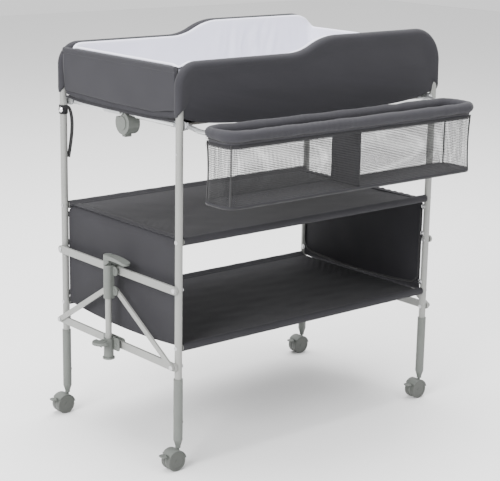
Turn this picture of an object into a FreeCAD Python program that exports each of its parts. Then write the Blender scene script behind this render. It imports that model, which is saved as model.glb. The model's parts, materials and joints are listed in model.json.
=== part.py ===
import FreeCAD, Part
import math
import os

from FreeCAD import Vector

# Folding changing table: two leg hoops joined by end linkages, a fold-down platform with a soft tub,
# two fold-down shelves, height-adjustable legs on twin casters, and a hang-on basket at the front.
# Millimetres, +Z up. X runs along the table, -Y is the basket side. left is -X, rear is +Y.
# Every piece is first drawn about the plane midway between the hoops, and moved to the origin at export.

# ---- driving dimensions ----
LEG_X = 370.0            # leg centres, along the table
LEG_Y = 216.0            # leg centres, across the table
TUBE_R = 8.0             # main tube
TUBE_WALL = 1.2
HOOP_LOW = 859.0         # tube centre along the low part of the hoop's top
HOOP_HIGH = 891.0        # tube centre along the high part
RISE_FROM = -80.0        # the top's S-shaped rise, along X
RISE_TO = 55.0
LEFT_BEND = 40.0         # centre-line radius of the hoop's low corner
RIGHT_BEND = 69.0        # centre-line radius of the hoop's high corner
LEG_END = 118.0          # lower end of the hoop's tube, inside the sleeve
CAP_PIN_Z = 683.0        # small cap pins on the legs
WALL_HEM = 755.0         # lower edge of the tub's long walls
WALL_THICK = 6.0

PIVOT_IN = 15.0          # bar pivots stand this far off the post centre
PLATFORM_IN = 15.0       # platform and shelf pivots stand this far inside the leg centres
UPPER_BAR_Z = 396.3
LOWER_BAR_Z = 229.4
SLIDER_PIVOT_Z = 351.7
UPPER_SHELF_Z = 498.3
LOWER_SHELF_Z = 269.8
RAIL_Z = 739.7

POST_X = 399.0
POST_R = 7.0
BAR_OUT, BAR_IN = 384.0, 378.5        # crossbars, |X| of the outer and inner faces
DIAG_OUT, DIAG_IN = 389.5, 385.0      # diagonals lie outside the crossbars
BAR_HALF = 8.5
DIAG_HALF = 6.0
HUB_TOP, HUB_SPLIT = 409.0, 375.0     # the fixed hub's top, and where the sliding hub starts below it
SLIDER_LOW = 334.0
HUB_R = 10.5                          # round back of the hubs
EAR_REACH = 25.0                      # half the width of the ears that cover the bars' ends
LUG_IN, LUG_OUT = 374.0, 377.8        # plates behind the crossbars
EAR_OUT = 393.6                       # |X| of the ears' outer face
CHEEK_OUT = 392.6                     # |X| of the cheeks round the lower crossbars
POST_LOW, POST_HIGH = 200.0, 404.0
BRACKET_LOW, BRACKET_HIGH = 195.0, 242.0
RIVET_HIGH = 1.2                      # how far the hubs' rivet heads stand out
PEDAL_X, PEDAL_Z = -414.0, 232.0      # the left pedal's pivot
PEDAL_PIN_R = 1.8
PEDAL_R = 21.0
HANDLE_Z = 419.0                      # the handle's pivot
HANDLE_PIN_R = 2.0
HANDLE_TOP = 432.5
HANDLE_R = 10.5
HANDLE_REACH = 74.0                   # the handle's tip, in front of the post
PIN_R = 3.0
RUN = 0.05               # radial running clearance
GAP = 0.3                # clearance between neighbours that move past each other

RAIL_X = 354.0
BRACKET_OUT, BRACKET_IN = 361.8, 359.4   # rail brackets, |X| of the two faces
HOUSING_X = (-360.5, -331.0)
HOUSING_Z, HOUSING_R = 716.0, 25.0
RAIL_TUBE_FROM, RAIL_TUBE_TO = 48.0, 184.0
BOARD_X = 345.0
BOARD_THICK = 4.8
SHELF_X = 357.0
SHELF_THICK = 2.8
SHELF_TUBE_R = 7.0
PAD_X, PAD_Y = 342.0, 200.0
PAD_Z = (748.2, 769.0)
END_WALL_X = (-373.0, -367.0)
END_WALL_Y, END_WALL_LOW = 203.0, 762.0
END_WALL_TOPS = (855.0, 862.0)        # left, right
END_PANEL_X = (-366.0, -363.5)
END_PANEL_Y = 205.0

WHEEL_R = 22.0
TRAIL = 12.0             # the wheel centre trails the swivel axis
WHEEL_HALF = 14.5        # half the twin wheels' overall width
SLEEVE_TOP = 201.4
SLEEVE_R = 10.0
SLEEVE_BOTTOM = 47.0
BUTTON_Z, BUTTON_R = 103.0, 3.5
BRAKE_DX, BRAKE_DZ = -23.5, 13.5      # the brake's hinge, from the wheel centre
BRAKE_PIN_R = 1.2
WEB_HALF = 2.1           # half the caster's centre web
HOOD_IN, HOOD_OUT = 22.6, 24.4
AXLE_R = 2.0

BASKET_X = 352.0         # centre line of the rim's sides
RIM_R = 9.0
RIM_Z = 734.0
RIM_REAR, RIM_FRONT = -275.0, -359.0  # centre lines of the rim's long runs
BAG_WALL = 2.5
BAG_BOTTOM = 588.0
BAG_FLOOR = 3.0
BAG_OUT = 5.0            # the bag stands this far outside the rim's centre line
RIM_CORNER, BAG_CORNER = 26.0, 28.0
DIVIDER_HALF = 1.5
ARM_R = 5.0
STRAP_Z, STRAP_WIDE = 709.0, 20.0

REAR_REACH = LEG_Y + WHEEL_HALF
FRONT_REACH = RIM_FRONT - RIM_R
FRAME_Y = -(REAR_REACH + FRONT_REACH) / 2   # where the plane midway between the hoops ends up

os.makedirs("parts", exist_ok=True)


# ---- helpers ----
def cylinder(start, end, radius):
    """A round bar between two points."""
    line = Vector(*end) - Vector(*start)
    return Part.makeCylinder(radius, line.Length, Vector(*start), line)


def block(x, y, z):
    """A box from (low, high) pairs."""
    return Part.makeBox(x[1] - x[0], y[1] - y[0], z[1] - z[0], Vector(x[0], y[0], z[0]))


def fused(shapes):
    """One clean solid from overlapping shapes."""
    return shapes[0].fuse(shapes[1:]).removeSplitter()


def mirror_x(shape):
    return shape.mirror(Vector(0, 0, 0), Vector(1, 0, 0))


def mirror_y(shape):
    return shape.mirror(Vector(0, 0, 0), Vector(0, 1, 0))


def both_ends(shape):
    """The left piece and its right twin."""
    return [shape, mirror_x(shape)]


def save(node, shapes):
    """Write one node, one or more closed solids, in the object's own frame."""
    whole = Part.makeCompound(shapes) if len(shapes) > 1 else shapes[0]
    moved = whole.copy()
    moved.translate(Vector(0, FRAME_Y, 0))
    for solid in moved.Solids:
        if not solid.isValid() or solid.Volume <= 0:
            raise ValueError("bad solid in " + node)
    moved.exportStep("parts/" + node + ".step")


def link(a, b, half, x):
    """A flat bar with round ends in the YZ plane, from a to b, between two X faces."""
    run = Vector(0, b[0] - a[0], b[1] - a[1])
    side = Vector(0, -run.z, run.y).normalize() * half
    corners = [Vector(x[0], a[0], a[1]) + side, Vector(x[0], b[0], b[1]) + side,
               Vector(x[0], b[0], b[1]) - side, Vector(x[0], a[0], a[1]) - side]
    face = Part.Face(Part.makePolygon(corners + corners[:1]))
    middle = face.extrude(Vector(x[1] - x[0], 0, 0))
    ends = [cylinder((x[0], p[0], p[1]), (x[1], p[0], p[1]), half) for p in (a, b)]
    return fused([middle] + ends)


def drilled(shape, points, radius, x):
    """Holes along X at (y, z) points."""
    for y, z in points:
        shape = shape.cut(cylinder((x[0], y, z), (x[1], y, z), radius))
    return shape


def rounded_path(points, radius):
    """Straight runs joined by tangent arcs of one radius."""
    edges = []
    last = points[0]
    for before, corner, after in zip(points, points[1:], points[2:]):
        back = (before - corner).normalize()
        ahead = (after - corner).normalize()
        half = back.getAngle(ahead) / 2
        reach = radius / math.tan(half)
        middle = (back + ahead).normalize() * (radius / math.sin(half) - radius)
        edges.append(Part.LineSegment(last, corner + back * reach).toShape())
        edges.append(Part.Arc(corner + back * reach, corner + middle, corner + ahead * reach).toShape())
        last = corner + ahead * reach
    edges.append(Part.LineSegment(last, points[-1]).toShape())
    return Part.Wire(edges)


def swept(path, radius):
    """A round bar along a wire."""
    start = path.Edges[0]
    at = start.valueAt(start.FirstParameter)
    along = start.tangentAt(start.FirstParameter)
    ring = Part.Wire([Part.Circle(at, along, radius).toShape()])
    return path.makePipeShell([ring], True, False)


def hollow(path, radius):
    """A round tube along a wire."""
    return swept(path, radius).cut(swept(path, radius - TUBE_WALL))


# ---- hoops ----
def hoop_outline(inset, foot):
    """The hoop's line in the XZ plane, offset inwards: up the left leg, over the top, down the right."""
    left, right = -LEG_X + inset, LEG_X - inset
    low, high = HOOP_LOW - inset, HOOP_HIGH - inset
    half_turn = math.atan2(HOOP_HIGH - HOOP_LOW, RISE_TO - RISE_FROM)
    bend = (RISE_TO - RISE_FROM) / (2 * math.sin(2 * half_turn))

    def arc(centre, radius, angles):
        first, last = [math.radians(a) for a in angles]
        spots = [centre + Vector(math.cos(a), 0, math.sin(a)) * radius
                 for a in (first, (first + last) / 2, last)]
        return Part.Arc(*spots).toShape(), spots[0], spots[2]

    turn = math.degrees(2 * half_turn)
    parts = [
        arc(Vector(-LEG_X + LEFT_BEND, 0, HOOP_LOW - LEFT_BEND), LEFT_BEND - inset, (180, 90)),
        arc(Vector(RISE_FROM, 0, HOOP_LOW + bend), bend + inset, (270, 270 + turn)),
        arc(Vector(RISE_TO, 0, HOOP_HIGH - bend), bend - inset, (90 + turn, 90)),
        arc(Vector(LEG_X - RIGHT_BEND, 0, HOOP_HIGH - RIGHT_BEND), RIGHT_BEND - inset, (90, 0)),
    ]
    edges = []
    last = Vector(left, 0, foot)
    for edge, start, end in parts:
        if (start - last).Length > 1e-6:
            edges.append(Part.LineSegment(last, start).toShape())
        edges.append(edge)
        last = end
    edges.append(Part.LineSegment(last, Vector(right, 0, foot)).toShape())
    wire = Part.Wire(edges)
    wire.translate(Vector(0, LEG_Y, 0))
    return wire


def leg_fasteners():
    """Left rear leg: pivot rivets for the bars, screws for the shelf tubes, small cap pins."""
    inner, skin = -LEG_X + TUBE_R, -LEG_X - TUBE_R
    pieces = []
    head_high, head_r, tail_r = 1.6, 5.5, 4.5
    for z, head in ((UPPER_BAR_Z, BAR_OUT + GAP), (LOWER_BAR_Z, DIAG_OUT + GAP)):
        shank = cylinder((inner, LEG_Y, z), (-head, LEG_Y, z), PIN_R)
        tail = cylinder((inner + head_high, LEG_Y, z), (inner, LEG_Y, z), tail_r)
        cap = cylinder((-head, LEG_Y, z), (-head - head_high, LEG_Y, z), head_r)
        rim = [e for e in cap.Edges if e.BoundBox.XMax < -head - head_high + 0.1]
        pieces.append(fused([shank, tail, cap.makeFillet(1.0, rim)]))
    sunk, proud = skin + 1.8, skin - 0.2
    for z in (UPPER_SHELF_Z, LOWER_SHELF_Z):
        shank = cylinder((inner + SHELF_TUBE_R, LEG_Y, z), (skin, LEG_Y, z), 2.0)
        pieces.append(fused([shank, cylinder((sunk, LEG_Y, z), (proud, LEG_Y, z), tail_r)]))
    pieces.append(cylinder((sunk, LEG_Y, CAP_PIN_Z), (proud, LEG_Y, CAP_PIN_Z), 2.5))
    return pieces


def frame_pieces():
    """Rear hoop, its shelf tubes and its fasteners, drawn at the rear."""
    left = leg_fasteners()
    fasteners = left + [mirror_x(piece) for piece in left]
    hoop = hollow(hoop_outline(0, LEG_END), TUBE_R)
    for piece in fasteners:
        hoop = hoop.cut(piece)
    tubes = []
    end = LEG_X - TUBE_R - 0.2
    plug = 8.0
    for z in (UPPER_SHELF_Z, LOWER_SHELF_Z):
        tube = cylinder((-end, LEG_Y, z), (end, LEG_Y, z), SHELF_TUBE_R)
        tube = tube.cut(cylinder((-end + plug, LEG_Y, z), (end - plug, LEG_Y, z), SHELF_TUBE_R - TUBE_WALL))
        for piece in fasteners:
            tube = tube.cut(piece)
        tubes.append(tube)
    return hoop, tubes, fasteners


def wall_panel():
    """Padded side wall of the tub, a plate that fills the rear hoop above the hem."""
    wire = hoop_outline(TUBE_R + GAP, WALL_HEM)
    ends = [v.Point for v in wire.OrderedVertexes]
    closing = Part.LineSegment(ends[-1], ends[0]).toShape()
    face = Part.Face(Part.Wire(wire.Edges + [closing]))
    panel = face.extrude(Vector(0, WALL_THICK, 0))
    return panel.translated(Vector(0, -WALL_THICK / 2, 0))


def rail_bracket():
    """Left rear galvanised plate on the leg, with the platform's pivot pin and two rivets."""
    pivot_y = LEG_Y - PLATFORM_IN
    half = 9.5
    plate = block((-BRACKET_OUT, -BRACKET_IN), (pivot_y - 8, LEG_Y + 7), (RAIL_Z - half, RAIL_Z + half))
    corners = [e for e in plate.Edges if abs(e.Length - (BRACKET_OUT - BRACKET_IN)) < 1e-6]
    plate = plate.makeFillet(5.0, corners)
    pin_end = -RAIL_X + 1.0
    pin = cylinder((-BRACKET_IN, pivot_y, RAIL_Z), (pin_end, pivot_y, RAIL_Z), PIN_R)
    head = cylinder((pin_end, pivot_y, RAIL_Z), (pin_end + 1.6, pivot_y, RAIL_Z), 5.0)
    return fused([plate, pin, head] + bracket_rivets(LEG_Y, 1.4, 2.8))


def bracket_rivets(y, high, radius):
    """The two rivet heads on a left rail bracket's inner face."""
    return [cylinder((-BRACKET_IN, y, RAIL_Z + dz), (-BRACKET_IN + high, y, RAIL_Z + dz), radius)
            for dz in (-5.0, 5.0)]


# ---- end linkages ----
def crossbar(z):
    """Left rear bar from the leg to the post, pinned at both ends."""
    x = (-BAR_OUT, -BAR_IN)
    ends = [(LEG_Y, z), (PIVOT_IN, z)]
    return drilled(link(ends[0], ends[1], BAR_HALF, x), ends, PIN_R + RUN, (-BAR_OUT - 1, -BAR_IN + 1))


def diagonal():
    """Left rear diagonal from the leg's lower pivot up to the sliding hub."""
    x = (-DIAG_OUT, -DIAG_IN)
    foot = (LEG_Y, LOWER_BAR_Z)
    bar = link(foot, (PIVOT_IN, SLIDER_PIVOT_Z), DIAG_HALF, x)
    return drilled(bar, [foot], PIN_R + RUN, (-DIAG_OUT - 1, -DIAG_IN + 1))


def post_tube():
    """Left upright tube that the hubs ride on."""
    ends = (-POST_X, 0, POST_LOW), (-POST_X, 0, POST_HIGH)
    return cylinder(*ends, POST_R).cut(cylinder(*ends, POST_R - TUBE_WALL))



def lug_and_pins(z, half_height, reach, pin_end):
    """Plate behind the crossbars' inner faces, the web that carries it, and the two pivot pins."""
    plate = block((-LUG_OUT, -LUG_IN), (-reach, reach), (z - half_height, z + half_height))
    long_edges = [e for e in plate.Edges if abs(e.Length - (LUG_OUT - LUG_IN)) < 1e-6]
    plate = plate.makeFillet(6.0, long_edges)
    web = block((-POST_X + 8.5, -LUG_IN - 1), (-5.0, 5.0), (z - half_height, z + half_height))
    pins = [cylinder((-LUG_IN, y, z), (-pin_end, y, z), PIN_R) for y in (-PIVOT_IN, PIVOT_IN)]
    return [plate, web] + pins


def hub_shell(low, high, pivot_z):
    """Left hub's round back, the block behind it, and ears with rivet heads over the bars' ends."""
    inner = DIAG_OUT + 0.5
    back = cylinder((-POST_X, 0, low), (-POST_X, 0, high), HUB_R)
    neck = block((-POST_X, -inner), (-HUB_R, HUB_R), (low, high))
    ears = block((-EAR_OUT, -inner), (-EAR_REACH, EAR_REACH), (pivot_z - 10, pivot_z + 10))
    corners = [e for e in ears.Edges if abs(e.Length - (EAR_OUT - inner)) < 1e-6]
    return [back, neck, ears.makeFillet(8.0, corners)] + rivet_heads(EAR_OUT, PIVOT_IN, pivot_z, 4.0)


def upper_hub():
    """Left fixed hub at the post's top: holds the upper crossbars and the handle's tongue."""
    tongue = block((-POST_X - 4, -POST_X + 4), (-6.0, 6.0), (HUB_TOP - 1, HANDLE_Z + 6))
    shell = hub_shell(HUB_SPLIT, HUB_TOP, UPPER_BAR_Z)
    hub = fused(shell + [tongue] + lug_and_pins(UPPER_BAR_Z, 11.0, 25.0, DIAG_OUT + 0.5))
    hub = hub.cut(cylinder((-POST_X, 0, HUB_SPLIT - 1), (-POST_X, 0, POST_HIGH), POST_R))
    return hub.cut(handle_pin())


def sliding_hub():
    """Left hub that slides down the post as the table folds and carries the diagonals."""
    high = HUB_SPLIT - GAP
    hub = fused(hub_shell(SLIDER_LOW, high, SLIDER_PIVOT_Z))
    return hub.cut(cylinder((-POST_X, 0, SLIDER_LOW - 2), (-POST_X, 0, high + 2), POST_R + RUN))


def rivet_heads(x, y, z, radius):
    """Two rivet heads that stand out from a left hub's outer face, in front of and behind the post."""
    return [cylinder((-x, side * y, z), (-x - RIVET_HIGH, side * y, z), radius) for side in (-1, 1)]


def lower_bracket():
    """Left foot of the post: collar, cheeks around the lower crossbars, ears for the pedal."""
    body = cylinder((-POST_X, 0, BRACKET_LOW), (-POST_X, 0, BRACKET_HIGH), 11.0)
    flange = cylinder((-POST_X, 0, BRACKET_LOW), (-POST_X, 0, BRACKET_LOW + 4), 13.5)
    inner = DIAG_OUT + GAP
    cheek = block((-CHEEK_OUT, -inner), (-30.0, 30.0), (BRACKET_HIGH - 26, BRACKET_HIGH + 3))
    ends = [e for e in cheek.Edges if abs(e.Length - (CHEEK_OUT - inner)) < 1e-6]
    cheek = cheek.makeFillet(5.0, ends)
    ear = block((PEDAL_X - 3.5, -POST_X - 6), (9.2, 12.0), (PEDAL_Z - 6, PEDAL_Z + 5))
    pin = cylinder((PEDAL_X, -12.6, PEDAL_Z), (PEDAL_X, 12.6, PEDAL_Z), PEDAL_PIN_R)
    pieces = [body, flange, cheek, pin, ear, mirror_y(ear)] + rivet_heads(CHEEK_OUT, 19.5, LOWER_BAR_Z, 3.5)
    bracket = fused(pieces + lug_and_pins(LOWER_BAR_Z, 12.5, 28.0, BAR_OUT + GAP))
    return bracket.cut(cylinder((-POST_X, 0, POST_LOW), (-POST_X, 0, BRACKET_HIGH + 4), POST_R))


def pedal():
    """Left foot pedal: a rounded paddle on a short arm, with a rib below."""
    x, z = PEDAL_X, PEDAL_Z
    arm = block((x - 5.0, x + 2.2), (-8.8, 8.8), (z - 3.0, z + 6.0))
    paddle = cylinder((x - 4.0, 0, z), (x - 4.0, 0, z + 6.0), PEDAL_R)
    paddle = paddle.common(block((x - 40, x - 4.2), (-30, 30), (z - 5, z + 10)))
    edge = [e for e in paddle.Edges if e.Length > 2.5 * PEDAL_R and e.BoundBox.ZMin > z + 1]
    paddle = paddle.makeFillet(2.0, edge)
    corners = [Vector(x - 21, -2, z + 1), Vector(x - 4.5, -2, z + 1), Vector(x - 4.5, -2, z - 9)]
    rib = Part.Face(Part.makePolygon(corners + corners[:1])).extrude(Vector(0, 4, 0))
    return fused([paddle, arm, rib]).cut(cylinder((x, -20, z), (x, 20, z), PEDAL_PIN_R + RUN))


def handle():
    """Left release handle: a domed cap over the hub's tongue and a blade that droops towards the front."""
    low = HUB_TOP + 0.4
    upper = cylinder((-POST_X, 0, HANDLE_Z), (-POST_X, 0, HANDLE_TOP), HANDLE_R)
    upper = upper.makeFillet(2.5, [e for e in upper.Edges if e.BoundBox.ZMin > HANDLE_TOP - 1])
    lower = cylinder((-POST_X, 0, low), (-POST_X, 0, HANDLE_Z), HANDLE_R)
    drum = cylinder((-POST_X - HANDLE_R, 0, HANDLE_Z), (-POST_X + HANDLE_R, 0, HANDLE_Z), 9.3)
    body = fused([upper, lower.common(drum), handle_blade()])
    slot = block((-POST_X - 4.3, -POST_X + 4.3), (-11.0, 11.0), (low - 1, 427.5))
    pin_x = HANDLE_R + 1
    return body.cut(slot).cut(cylinder((-POST_X - pin_x, 0, HANDLE_Z), (-POST_X + pin_x, 0, HANDLE_Z),
                                       HANDLE_PIN_R + RUN))


def handle_blade():
    """The left handle's blade: arched above and below, with a rounded tip."""
    x = -POST_X - 10.5
    top = [Vector(x, y, z) for y, z in ((0, 431.0), (-40.0, 431.5), (-HANDLE_REACH, 425.5))]
    bottom = [Vector(x, y, z) for y, z in ((-HANDLE_REACH, 421.0), (-40.0, 424.0), (0, 421.0))]
    edges = [Part.Arc(*top).toShape(), Part.LineSegment(top[-1], bottom[0]).toShape(),
             Part.Arc(*bottom).toShape(), Part.LineSegment(bottom[-1], top[0]).toShape()]
    blade = Part.Face(Part.Wire(edges)).extrude(Vector(21.0, 0, 0))
    tips = [e for e in blade.Edges if e.BoundBox.YMax < -HANDLE_REACH + 1 and e.BoundBox.XLength < 0.1]
    return blade.makeFillet(9.0, tips)


def handle_pin():
    """The handle's hinge pin, held by the hub's tongue and carried in the cap's cheeks."""
    return cylinder((-POST_X - HANDLE_R, 0, HANDLE_Z), (-POST_X + HANDLE_R, 0, HANDLE_Z), HANDLE_PIN_R)


# ---- platform and shelves ----
def platform_rail():
    """Left rear rail: tube with a flat lug at the leg."""
    x = (-RAIL_X - 3.0, -RAIL_X)
    tube = cylinder((-RAIL_X, RAIL_TUBE_FROM, RAIL_Z), (-RAIL_X, RAIL_TUBE_TO, RAIL_Z), TUBE_R)
    tube = tube.cut(cylinder((-RAIL_X, RAIL_TUBE_FROM + 4, RAIL_Z), (-RAIL_X, RAIL_TUBE_TO - 12, RAIL_Z),
                             TUBE_R - TUBE_WALL))
    pivot = (LEG_Y - PLATFORM_IN, RAIL_Z)
    lug = link(pivot, (RAIL_TUBE_TO - 8, RAIL_Z), 7.0, x)
    return drilled(fused([tube, lug]), [pivot], PIN_R + RUN, (x[0] - 5, x[1] + 0.5))


def rear_rail():
    """Left rear rail with the two plates that straddle the hinge housing."""
    rail = platform_rail()
    outer = link((0, RAIL_Z), (RAIL_TUBE_FROM + 12, RAIL_Z), 6.0, (-364.2, -361.2))
    return drilled(fused([rail, outer]), [(0, RAIL_Z)], PIN_R + RUN, (-366, -360))


def front_rail():
    """Left front rail with the plate that fixes it to the hinge housing."""
    rail = mirror_y(platform_rail())
    plate = link((-10, RAIL_Z), (-RAIL_TUBE_FROM - 8, RAIL_Z), 5.5, (-354.0, -351.0))
    return fused([rail, plate])


def hinge_housing():
    """Left round housing below the platform's crease, with the hinge pin."""
    drum = cylinder((HOUSING_X[0], 0, HOUSING_Z), (HOUSING_X[1], 0, HOUSING_Z), HOUSING_R)
    ear = link((0, HOUSING_Z), (0, RAIL_Z), 7.0, HOUSING_X)
    boss = cylinder((HOUSING_X[0], 0, HOUSING_Z), (HOUSING_X[0] - 2.0, 0, HOUSING_Z), 15.0)
    tab = block((-356.0, -340.0), (-6.0, 6.0), (HOUSING_Z - 30.0, HOUSING_Z - 20.0))
    pin = cylinder((HOUSING_X[0], 0, RAIL_Z), (-365.5, 0, RAIL_Z), PIN_R)
    rear_relief = block((-400, -300), (4.0, 40.0), (HOUSING_Z + 12.5, HOUSING_Z + 40))
    return fused([drum, ear, boss, tab, pin]).cut(rear_relief).cut(front_rail())


def platform_board(sign):
    """Half of the platform between the rails, notched round the hinge housings."""
    inner, outer = sorted((sign * GAP / 2, sign * (LEG_Y - PLATFORM_IN - 10)))
    top = RAIL_Z - 0.2
    panel = block((-BOARD_X, BOARD_X), (inner, outer), (top - BOARD_THICK, top))
    reach = HOUSING_R + 1
    for side in (-1, 1):
        x = sorted((side * (-HOUSING_X[1] - 0.5), side * (BOARD_X + 1)))
        panel = panel.cut(block(x, (-reach, reach), (top - reach, top + reach)))
    return panel


def shelf_leaf(z, sign):
    """Half of a shelf, from its hem to the centre crease."""
    y = sorted((sign * GAP / 2, sign * (LEG_Y - PLATFORM_IN)))
    return block((-SHELF_X, SHELF_X), y, (z - SHELF_THICK, z))


def end_wall(top):
    """Soft end wall of the tub between the hoops, at the left."""
    return block(END_WALL_X, (-END_WALL_Y, END_WALL_Y), (END_WALL_LOW, top))


def end_panel():
    """Fabric end panel between the shelves, at the left."""
    return block(END_PANEL_X, (-END_PANEL_Y, END_PANEL_Y), (LOWER_SHELF_Z + 9, UPPER_SHELF_Z - 9))


# ---- legs and casters ----
def sleeve():
    """Lower leg at the left front: a plastic sleeve over the tube, tapering to the caster's socket."""
    neck = 5.75
    profile = [(0, SLEEVE_BOTTOM), (neck, SLEEVE_BOTTOM), (neck, SLEEVE_BOTTOM + 4),
               (SLEEVE_R, SLEEVE_BOTTOM + 18), (SLEEVE_R, SLEEVE_TOP), (0, SLEEVE_TOP)]
    points = [Vector(-LEG_X + r, -LEG_Y, z) for r, z in profile]
    body = Part.Face(Part.makePolygon(points + points[:1]))
    body = body.revolve(Vector(-LEG_X, -LEG_Y, 0), Vector(0, 0, 1), 360)
    bore = cylinder((-LEG_X, -LEG_Y, 72.0), (-LEG_X, -LEG_Y, SLEEVE_TOP + 1), TUBE_R + RUN)
    socket = cylinder((-LEG_X, -LEG_Y, SLEEVE_BOTTOM - 1), (-LEG_X, -LEG_Y, 66.0), PIN_R + RUN)
    hole = cylinder((-LEG_X + 5, -LEG_Y, BUTTON_Z), (-LEG_X + 12, -LEG_Y, BUTTON_Z), BUTTON_R + RUN)
    return body.cut(bore).cut(socket).cut(hole)


def button():
    """Push button in the sleeve's inner side."""
    face = -LEG_X + 11.6
    body = cylinder((-LEG_X + 8.8, -LEG_Y, BUTTON_Z), (face, -LEG_Y, BUTTON_Z), BUTTON_R)
    rim = [e for e in body.Edges if e.BoundBox.XMin > face - 0.1]
    return body.makeFillet(0.8, rim)


def around_y(centre, radius, half):
    """A disc about the Y axis, centred on the left front caster."""
    x, z = centre
    return cylinder((x, -LEG_Y - half, z), (x, -LEG_Y + half, z), radius)


def caster_fork():
    """Caster body: stem, centre web, thin hood over the wheels, and the brake's ear."""
    x, z = hub = (-LEG_X - TRAIL, WHEEL_R)
    stem = cylinder((-LEG_X, -LEG_Y, z + 16), (-LEG_X, -LEG_Y, 64.0), PIN_R)
    stem = stem.cut(around_y(hub, HOOD_IN, WHEEL_HALF))
    web = around_y(hub, WHEEL_R - 1, WEB_HALF)
    hood = around_y(hub, HOOD_OUT, WHEEL_HALF).cut(around_y(hub, HOOD_IN, WHEEL_HALF + 1))
    hood = hood.common(block((x - 18, x + 25), (-LEG_Y - 16, -LEG_Y + 16), (z + 4, z + 26)))
    middle = (-LEG_Y - WEB_HALF, -LEG_Y + WEB_HALF)
    bridge = block((x - 18, x + 20), middle, (z + 10, z + 22.8)).common(around_y(hub, 23.5, 3))
    pivot = (x + BRAKE_DX, z + BRAKE_DZ)
    ear_r = 2.6
    ear = fused([around_y(pivot, ear_r, WEB_HALF),
                 block((pivot[0], x), middle, (pivot[1] - ear_r, pivot[1] + ear_r))])
    body = fused([stem, web, hood, bridge, ear, around_y(pivot, BRAKE_PIN_R, 8.0)])
    return body.cut(around_y(hub, AXLE_R + RUN, 3))


def brake_lever():
    """Flat toe tab at the caster's trailing edge."""
    x, z = pivot = (-LEG_X - TRAIL + BRAKE_DX, WHEEL_R + BRAKE_DZ)
    cheeks = around_y(pivot, 2.5, 7.8)
    tab = block((x - 10.5, x), (-LEG_Y - 8.5, -LEG_Y + 8.5), (z - 0.5, z + 2.5))
    tip = [e for e in tab.Edges if abs(e.Length - 3.0) < 1e-6 and e.CenterOfMass.x < x - 5]
    body = fused([cheeks, tab.makeFillet(4.0, tip)])
    slot = block((x - 3.2, x + 6), (-LEG_Y - 2.4, -LEG_Y + 2.4), (z - 6, z + 6))
    return body.cut(slot).cut(around_y(pivot, BRAKE_PIN_R + RUN, 20))


def wheel_pair():
    """Twin wheels on one axle, each with a dished outer face round a hub cap."""
    x, z = hub = (-LEG_X - TRAIL, WHEEL_R)
    pieces = [around_y(hub, AXLE_R, WHEEL_HALF - 1)]
    dish = 0.8
    ring = around_y(hub, 16.5, dish).cut(around_y(hub, 5.0, dish))
    for side in (-1, 1):
        face = -LEG_Y + side * WHEEL_HALF
        disc = cylinder((x, -LEG_Y + side * 2.5, z), (x, face, z), WHEEL_R)
        edges = [e for e in disc.Edges if e.Length > 100]
        disc = disc.makeFillet(1.5, edges)
        pieces.append(disc.cut(ring.translated(Vector(0, side * WHEEL_HALF, 0))))
    return fused(pieces)


def at_corners(shape, facing_in=False):
    """The left front piece and its copies at the other legs, all facing one way or all facing in."""
    right = mirror_x(shape) if facing_in else shape.translated(Vector(2 * LEG_X, 0, 0))
    spots = {}
    for lengthwise, piece in (("left", shape), ("right", right)):
        spots[lengthwise + "_front"] = piece
        spots[lengthwise + "_rear"] = piece.translated(Vector(0, 2 * LEG_Y, 0))
    return spots


# ---- basket ----
def basket_arm():
    """Left arm: a bent rod on a clamp block at the front leg's bracket."""
    spots = ((5.5, RAIL_Z), (-4.0, RAIL_Z), (-42.0, RIM_Z), (-122.0, RIM_Z))
    path = rounded_path([Vector(-BASKET_X, -LEG_Y + dy, z) for dy, z in spots], 14.0)
    clamp = block((-BRACKET_IN + 0.1, -BASKET_X), (-LEG_Y - 6, -LEG_Y + 5.5), (RAIL_Z - 7.5, RAIL_Z + 7.5))
    for pocket in bracket_rivets(-LEG_Y, 1.6, 3.0):
        clamp = clamp.cut(pocket)
    return fused([swept(path, ARM_R), clamp])


def rim_path():
    """The rim's closed centre line, a rounded rectangle."""
    edges = []
    x, r = BASKET_X, RIM_CORNER
    y0, y1 = RIM_FRONT, RIM_REAR
    sides = [((-x + r, y0), (x - r, y0)), ((x, y0 + r), (x, y1 - r)), ((x - r, y1), (-x + r, y1)),
             ((-x, y1 - r), (-x, y0 + r))]
    centres = [(x - r, y0 + r, -45), (x - r, y1 - r, 45), (-x + r, y1 - r, 135), (-x + r, y0 + r, 225)]
    for (start, end), (cx, cy, angle), (following, _) in zip(sides, centres, sides[1:] + sides[:1]):
        turn = math.radians(angle)
        middle = Vector(cx + r * math.cos(turn), cy + r * math.sin(turn), RIM_Z)
        last = Vector(*end, RIM_Z)
        edges.append(Part.LineSegment(Vector(*start, RIM_Z), last).toShape())
        edges.append(Part.Arc(last, middle, Vector(*following, RIM_Z)).toShape())
    return Part.Wire(edges)


def basket_rim():
    """Padded rim roll with sockets that slide over the arms."""
    rim = swept(rim_path(), RIM_R)
    socket = cylinder((-BASKET_X, RIM_REAR + 30, RIM_Z), (-BASKET_X, -LEG_Y - 124, RIM_Z), ARM_R + RUN)
    return rim.cut(socket).cut(mirror_x(socket))


def bag_box(inset, low, high):
    """A rounded box inside the rim's outline."""
    grow = BAG_OUT - inset
    box = block((-BASKET_X - grow, BASKET_X + grow), (RIM_FRONT - grow, RIM_REAR + grow), (low, high))
    upright = [e for e in box.Edges if abs(e.Length - (high - low)) < 1e-6]
    return box.makeFillet(BAG_CORNER - inset, upright)


def basket_bag():
    """Mesh bag with a solid floor, open at the top."""
    top = RIM_Z - RIM_R - GAP
    return bag_box(0, BAG_BOTTOM, top).cut(bag_box(BAG_WALL, BAG_BOTTOM + BAG_FLOOR, top + 1))


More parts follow.
